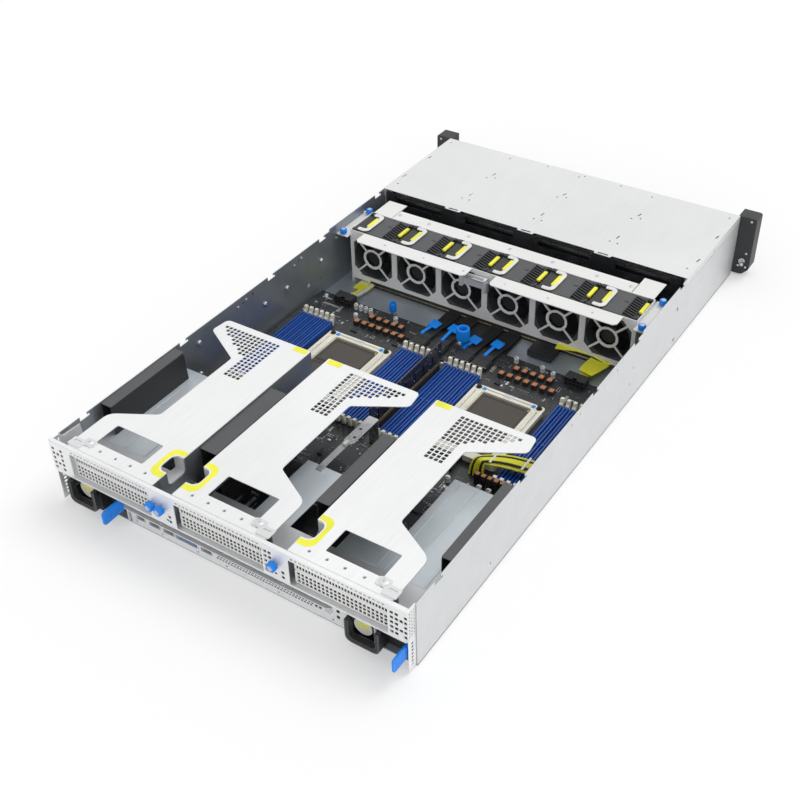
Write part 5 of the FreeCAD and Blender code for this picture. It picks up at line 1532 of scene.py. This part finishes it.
def pan(soft):
    """Floor, the two notched walls with their dimples, the cage ledges and the standoffs."""
    shell = Shape("floor_sheet")
    shell.sheet(oblong(about(0, body_half), (0, body_rear)), [], "z", (0, 1.2))
    shell.use("wall_sheet")
    for side in (1, -1):
        dark = [slit(y, z, 4.2, 1.5, 90) for y, z in wall_slots] + [slit(*bore) for bore in wall_bores]
        holes = [ring_of(y, z, 2.6, 16) for y, z in wall_dimples] + dark
        shell.sheet(wall_outline(), holes, "x", mirrored(side, 218.2, body_half))
        # The inner half of the wall takes the darker inner sheet: painted shade of its inward face.
        shell.use("shaded_inner_sheet").sheet(wall_outline(), holes, "x", mirrored(side, wall_inside, 218.2))
        # Near-black fills inside the slots and bores paint the shade seen through them.
        shell.use("painted_hole_shade")
        for hole in dark:
            shell.prism(hole, "x", (side * 218.1, side * 218.3))
        shell.use("wall_sheet")
        for y, z in wall_dimples:
            shell.turned(y, z, "x", [(2.6, side * 218.9), (1.7, side * 218.3)], 16)
            shell.disc(y, z, 2.7, "x", mirrored(side, 217.9, 218.1), 16)
        # A near-black strip over each cage ledge paints the shade in the gap beside the fan cage.
        shell.use("painted_shade_sheet").block(mirrored(side, 205.8, wall_inside), (214.3, 290.3), (70.8, 72))
        shell.use("wall_sheet")
        shell.block(mirrored(side, 216.6, wall_inside), (214.3, 290.3), (66, 72))
        shell.use("steel")
        stud = [(3.4, wall_inside), (3.4, 217), (2.6, 215.2), (1.4, 214.8)]
        small_stud = [(1.9, wall_inside), (1.9, 216.6), (1.2, 216.2)]
        for places, profile, sides in ((wall_studs, stud, 18), (small_studs, small_stud, 12)):
            for y, z in places:
                shell.turned(y, z, "x", [(radius, side * level) for radius, level in profile], sides)
        shell.use("wall_sheet")
    shell.use("steel")
    for x, y in standoffs:
        shell.disc(x, y, 3, "z", (1.2, 7), 6)
    shell.done("pan", "chassis", "galvanised_sheet", ["chassis_pan"], soft)


def ears(soft):
    """The two front ears: grip block with its finger pocket, tongue, screws and release."""
    ear = Shape("black_plastic")
    for side in (1, -1):
        ear.use("black_plastic")
        edge = [(216.6, 3), (232.3, 3), (241.3, 12), (241.3, 87), (216.6, 87)]
        holes = [oblong(mirrored(side, 219.6, 238.3), (28, 50), 4, 4)]
        if side > 0:
            holes.append(ring_of(232.55, 62, 4.1, 28))
        outline = rounded([(side * a, b) for a, b in edge], [1, 3, 3, 3, 1], 3)
        ear.sheet(outline, holes, "y", (-21, -13 if side > 0 else -3))
        if side > 0:
            ear.sheet(outline, holes[:1], "y", (-13, -3))
        ear.sheet(outline, [], "y", (-3, 0))
        slots = [slit(20, 28, 6, 3), slit(20, 52, 6, 3)]
        ear.use("steel").sheet(
            oblong((0, 30), (13, 66), 2, 3), slots, "x", mirrored(side, 216.6, wall_inside)
        )
        ear.turned(side * 232.55, 21.4, "y", [(2.5, -2), (2.5, 6.8), (1.6, 8)], 20)
        for x, z, radius in (
            (234.6, 82.4, 1.6), (234.8, 35, 1.6), (230.6, 22.5, 4.4), (226.6, 15.3, 1.5), (236.6, 15, 1.5)
        ):
            if side < 0 or radius < 4:
                ear.turned(side * x, z, "y", [(radius, 0), (radius, 0.7), (radius * 0.6, 1.0)], 18)
        ear.use("grey_plastic")
        if side < 0:
            for z in spread(54.5, 8, 3.6):
                ear.block((-238, -222), (-21, -20.6), (z, z + 1.4))
            ear.prism(rounded(oblong((-236.5, -228.5), (20, 27)), 1.5, 3), "y", (-27, -20.9))
            ear.use("blue_plastic").prism(
                rounded(oblong((-236, -229), (20.6, 26.4)), 1.4, 3), "y", (-26.98, -26.0)
            )
    ear.done("ears", "chassis", "dark_plastic", ["rack_ears"], soft * 2, 2)


# The drive bays: the bottoms of the rows and the middles of the columns
row_bottoms = spread(2.3, 3, 28.2667)
column_places = (-162, -54, 54, 162)
bay_places = [(x, z) for z in row_bottoms for x in column_places]


def tray(number, x, z):
    """A drive tray: pierced face, lights, rails, rear tie and the drive in it, and its lever."""
    body, arm = f"drive_tray_{number}", f"tray_lever_{number}"
    low, high, top = x - 53, x + 53, z + 26.67
    shape = Shape("black_plastic")
    holes = []
    for level in (z + 17.4, z + 21.8):
        holes += [
            oblong((place, place + 4.2), (level, level + 3), 0.9, 2) for place in spread(x - 33, 13, 5.1)
        ]
    shape.sheet(oblong((low, high), (z, top), 1.2, 3), holes, "y", (-0.6, 3))
    for side in ((low, low + 1.9), (high - 1.9, high)):
        slots = [slit(y, z + 8, 7, 3) for y in (24, 60, 100, 136)]
        shape.sheet(oblong((3, 158), (z, z + 15)), slots, "x", side)
    shape.block((low, high), (156.1, 158), (z, z + 5))
    px, py = x - 50.1, -3.3
    for level in (z, z + 13.3):
        shape.prism(
            rounded(oblong(about(px, 2.4), (-5.7, -0.6)), [2, 2, 0, 0], 3), "z", (level, level + 1.7)
        )
    shape.use("steel").turned(px, py, "z", [(1.2, z), (1.2, z + 15)], 14)
    shape.use("grey_plastic").block((x + 40, x + 51), (-4.1, -0.6), (z + 2, z + 13))
    for place, kind in ((x + 41, "white_label"), (x + 46.5, "yellow_label")):
        shape.use(kind).turned(place, z + 23.6, "y", [(1.1, -0.6), (0.9, -1.1)], 12)
    shape.use("tin").prism(rounded(oblong(about(x, 50.8), (8, 155)), 2.5, 3), "z", (z + 0.6, z + 24.6))
    shape.use("steel").prism(rounded(oblong(about(x, 47), (12, 151)), 5, 3), "z", (z + 24.6, z + 26.0))
    shape.use("white_label").block(about(x, 32), (40, 110), (z + 26.0, z + 26.08))
    shape.done(f"tray_{number}", body, "tray_plastic", [body], 0.0003)
    lever = Shape("grey_plastic")
    base, end = z + 2, x + 38
    lever.turned(px, py, "z", oblong((1.26, 2.4), (base, base + 11)), 20)
    window = oblong((end - 34, end - 6), (base + 2.5, base + 8.5), 2.2, 4)
    lever.sheet(rounded(oblong((px, end), (base, base + 11)), [0, 3, 3, 0], 4), [window], "y", (-5.5, -3.4))
    lever.prism(rounded(oblong((px + 2.2, end), (base, base + 11)), [0, 3, 3, 0], 4), "y", (-3.5, -1.2))
    lever.use("black_plastic")
    for place in spread(px + 6, 12, 2.6):
        lever.block((place, place + 1.2), (-5.5, -5.3), (base + 2.2, base + 8.8))
    lever.use("blue_plastic").prism(
        oblong((end - 4.6, end - 1.6), (base + 2.6, base + 8.4), 1, 3), "y", (-5.5, -5.2)
    )
    lever.done(f"lever_{number}", arm, "lever_plastic", [arm], 0.0003)


def cage_trim():
    """What is fixed to the fan cage and the backplane: clips, rings, screws, bracket, plugs and edges, and
    a dark band of painted shade under the cage.
    """
    trim = Shape("black_plastic")
    for place in spread(-2 * fan_pitch, 5, fan_pitch):
        for y in (232, 264):
            trim.block(about(place, 1.4), (y, y + 8), (60, 64.5))
    for x in column_places:
        for shift in (-28, 4, 32):
            trim.use("black_plastic").block(about(x + shift, 9.6), (186, 190), (40.4, 45.6))
            trim.use("rubber")
            for place in spread(x + shift - 7.5, 6, 3):
                route = [(place, 189, 43), (place, 199, 43), (place, 203, 34), (place, 203, 12)]
                strand(trim, route, 1.2, 6)
    trim.use("guard_sheet")
    for x in fan_places:
        trim.sheet(ring_of(x, fan_level, 14.3, 40), [ring_of(x, fan_level, 11.2, 40)], "y", (279.5, 280.1))
    trim.use("steel")
    for x in (-165, -120, -60, 0, 60, 120, 165):
        trim.turned(x, 216, "z", [(2.6, 80), (2.4, 80.5), (1.4, 80.9)], 14)
    for x in spread(-150, 6, 58):
        trim.turned(x, 290, "z", [(1.8, 80), (1.6, 80.4)], 12)
    # A dark band across the foot of the cage's rear face: painted shade of the gap under the cage, with a
    # gold line in it.
    trim.use("black_film_and_shade").block((-172, 172), (279.62, 280.0), (1.4, 10.6))
    trim.use("gold").block((-170, 170), (280.0, 280.3), (5.4, 6.1))
    trim.use("cage_sheet")
    for span in ((-7, -3), (27, 31)):
        trim.prism(rounded(oblong((282, 289.6), (56, 75.6)), 2, 3), "x", span)
    trim.block((-3, 27), (282, 284.5), (58, 74))
    trim.use("steel").turned(285.8, 70, "x", [(1.4, -8), (1.4, 32)], 12)
    trim.done("cage_trim", "chassis", "cage_sheet", (), 0.0002)


# The stage


def studio_air(strength):
    """Even light, with a white background where the camera, glass or a gloss sees it."""
    world = bpy.data.worlds.new("studio")
    world.use_nodes = True
    bpy.context.scene.world = world
    air = Nodes(world.node_tree)
    sky = air.node("ShaderNodeBackground", {}, {"Color": (1, 1, 1), "Strength": strength})
    white = air.node("ShaderNodeBackground", {}, {"Color": (1, 1, 1), "Strength": 1.0})
    seen = air.node("ShaderNodeLightPath", {}, {}, "Is Camera Ray")
    through = air.node("ShaderNodeLightPath", {}, {}, "Is Transmission Ray")
    shiny = air.node("ShaderNodeLightPath", {}, {}, "Is Glossy Ray")
    seen = seen.sum("MAXIMUM", seen, through)
    seen = seen.sum("MAXIMUM", seen, shiny)
    both = air.node("ShaderNodeMixShader", {}, {0: seen, 1: sky, 2: white})
    air.put(air.tree.nodes["World Output"].inputs["Surface"], both)


def studio_floor():
    """A wide pale floor that keeps the shadow and looks nearly white to the camera."""
    reach, level = 6.0, -0.0005
    paper = Paint("studio_paper", (0.93, 0.93, 0.93), 0.85)
    paper.set({"Specular IOR Level": 0.1, "Base Color": paper.noise(3.0, 2.0).ramp(0.0, 1.0, 0.925, 0.935)})
    camera_ray = paper.node("ShaderNodeLightPath", {}, {}, "Is Camera Ray")
    glow = paper.node("ShaderNodeEmission", {}, {"Color": (1, 1, 1), "Strength": 1.0})
    paper_face = Ink(paper, paper.shader.outputs[0])
    mix = paper.node("ShaderNodeMixShader", {}, {0: camera_ray * 0.35, 1: paper_face, 2: glow})
    paper.put(paper.tree.nodes["Material Output"].inputs["Surface"], mix)
    floor = bpy.data.meshes.new("studio_floor")
    corners = [(a, b, level) for a, b in oblong(about(0, reach), about(0, reach))]
    floor.from_pydata(corners, [], [(0, 1, 2, 3)])
    floor.materials.append(paper.material)
    sheet = in_scene("studio_floor", floor)


def sun_lamp(name, strength, width, turns):
    """A broad, soft lamp; its width and turns are degrees."""
    lamp = bpy.data.lights.new(name, "SUN")
    lamp.energy = strength
    lamp.angle = math.radians(width)
    in_scene(name, lamp).rotation_euler = [math.radians(turn) for turn in turns]


def studio_camera(settings):
    """The camera where the photo was taken from."""
    camera = bpy.data.cameras.new("camera")
    camera.lens = settings.lens
    camera.sensor_width = 36.0
    camera.clip_start, camera.clip_end = 0.01, 50.0
    view = in_scene("camera", camera)
    view.location = settings.place
    view.rotation_euler = [math.radians(turn) for turn in (51.64612, 1.17658, -146.83575)]
    bpy.context.scene.camera = view


class SERVER_OT_stage(bpy.types.Operator):
    """Pale floor, soft light and the camera"""

    bl_idname = "server.stage"
    bl_label = "Stage"

    def execute(self, context):
        settings = context.scene.server_stage
        context.scene.view_settings.view_transform = "Standard"
        studio_air(settings.sky)
        studio_floor()
        sun_lamp("key", settings.sun, 35, (28, -18, 0))
        sun_lamp("fill", settings.fill, 60, (66, 0, -148))
        studio_camera(settings)
        return {"FINISHED"}


class SERVER_OT_finishes(bpy.types.Operator):
    """Mix every finish of the server"""

    bl_idname = "server.finishes"
    bl_label = "Finishes"

    def execute(self, context):
        make_finishes(context.scene)
        return {"FINISHED"}


class SERVER_OT_chassis(bpy.types.Operator):
    """Pan, walls, floor and ears"""

    bl_idname = "server.chassis"
    bl_label = "Chassis"

    def execute(self, context):
        pan(context.scene.server_sheet.edge)
        ears(context.scene.server_sheet.edge)
        return {"FINISHED"}


class SERVER_OT_solids(bpy.types.Operator):
    """Finishes of the solids that stay in view"""

    bl_idname = "server.solids"
    bl_label = "Solids"

    def execute(self, context):
        plain = {
            "drive_bay_lid": "plate_sheet", "drive_cage": "cage_sheet", "backplane": "board_mask",
            "rack_ears": "black_plastic", "power_button": "steel", "fan_cage": "guard_sheet",
            "motherboard": "board_mask", "dimm_sockets": "socket_plastic", "cpu_sockets": "ivory_plastic",
            "board_parts": "chip_epoxy", "rear_frame": "cage_sheet", "io_panel": "cage_sheet",
            "thumbscrews": "blue_plastic", "cables": "rubber",
        }
        like = {
            "riser_cage": "plate_sheet", "power_supply": "cage_sheet", "supply_latch": "blue_plastic",
            "supply_fan": "black_plastic", "fan_module": "fan_plastic", "fan_rotor": "black_plastic",
            "drive_tray": "black_plastic", "tray_lever": "grey_plastic",
        }
        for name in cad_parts:
            stem = name.rsplit("_", 1)[0]
            if name in plain or stem in like:
                paint_node(name, plain.get(name) or like[stem])
        return {"FINISHED"}


class SERVER_OT_lid(bpy.types.Operator):
    """Cover over the drive bay"""

    bl_idname = "server.lid"
    bl_label = "Drive bay lid"

    def execute(self, context):
        drive_lid(context.scene.server_sheet.edge)
        return {"FINISHED"}


class SERVER_OT_risers(bpy.types.Operator):
    """The three riser cages"""

    bl_idname = "server.risers"
    bl_label = "Riser cages"

    def execute(self, context):
        for number, (edge, side) in enumerate(riser_edges, 1):
            riser(number, edge, side, context.scene.server_sheet.edge)
        return {"FINISHED"}


class SERVER_OT_rear(bpy.types.Operator):
    """Rear wall, port wall and captive screws"""

    bl_idname = "server.rear"
    bl_label = "Rear walls"

    def execute(self, context):
        rear_wall(context.scene.server_sheet.edge)
        io_wall(context.scene.server_sheet.edge)
        screws()
        return {"FINISHED"}


class SERVER_OT_fans(bpy.types.Operator):
    """The six fans and every rotor"""

    bl_idname = "server.fans"
    bl_label = "Fans"

    def execute(self, context):
        for number, x in enumerate(fan_places, 1):
            fan(number, x, context.scene.server_sheet.edge)
        fan_rotors()
        cage_trim()
        return {"FINISHED"}


class SERVER_OT_board(bpy.types.Operator):
    """Sockets, coils, coolers and small parts of the main board"""

    bl_idname = "server.board"
    bl_label = "Main board"

    def execute(self, context):
        memory_sockets()
        processor_sockets()
        board_blocks()
        small_parts(context.scene.server_board.parts)
        upright_boards()
        coolers()
        return {"FINISHED"}


class SERVER_OT_cords(bpy.types.Operator):
    """Cables and air baffles"""

    bl_idname = "server.cords"
    bl_label = "Cables and baffles"

    def execute(self, context):
        cords()
        ducts()
        return {"FINISHED"}


class SERVER_OT_supplies(bpy.types.Operator):
    """Both power supplies with their paddles"""

    bl_idname = "server.supplies"
    bl_label = "Power supplies"

    def execute(self, context):
        for number, left in enumerate(supply_lefts, 1):
            supply(number, left, context.scene.server_sheet.edge)
        return {"FINISHED"}


class SERVER_OT_trays(bpy.types.Operator):
    """The twelve drive trays and their levers"""

    bl_idname = "server.trays"
    bl_label = "Drive trays"

    def execute(self, context):
        for number, (x, z) in enumerate(bay_places, 1):
            tray(number, x, z)
        return {"FINISHED"}


class SERVER_PT_panel(bpy.types.Panel):
    """The steps that build the server's looks"""

    bl_idname = "SERVER_PT_panel"
    bl_label = "Open rack server"
    bl_space_type = "VIEW_3D"
    bl_region_type = "UI"
    bl_category = "Server"

    def draw(self, context):
        for step in steps:
            self.layout.operator(step.bl_idname)
        for name in groups:
            group = getattr(context.scene, name)
            for key in group.bl_rna.properties.keys():
                if key not in ("rna_type", "name"):
                    self.layout.prop(group, key)


groups = {
    "server_sheet": SheetSettings,
    "server_plastic": PlasticSettings,
    "server_board": BoardSettings,
    "server_stage": StageSettings,
}
steps = [
    SERVER_OT_stage, SERVER_OT_finishes, SERVER_OT_solids, SERVER_OT_chassis, SERVER_OT_lid,
    SERVER_OT_risers, SERVER_OT_rear, SERVER_OT_fans, SERVER_OT_board, SERVER_OT_cords, SERVER_OT_supplies,
    SERVER_OT_trays,
]


def register():
    """Add the settings, the steps and the panel."""
    for name, group in groups.items():
        bpy.utils.register_class(group)
        setattr(bpy.types.Scene, name, PointerProperty(type=group))
    for step in steps + [SERVER_PT_panel]:
        bpy.utils.register_class(step)


def unregister():
    """Take the panel, the steps and the settings away."""
    for step in [SERVER_PT_panel] + steps[::-1]:
        bpy.utils.unregister_class(step)
    for name, group in groups.items():
        delattr(bpy.types.Scene, name)
        bpy.utils.unregister_class(group)


def main():
    """Build the looks step by step."""
    register()
    for step in steps:
        area, name = step.bl_idname.split(".")
        getattr(getattr(bpy.ops, area), name)()


if __name__ == "__main__":
    main()
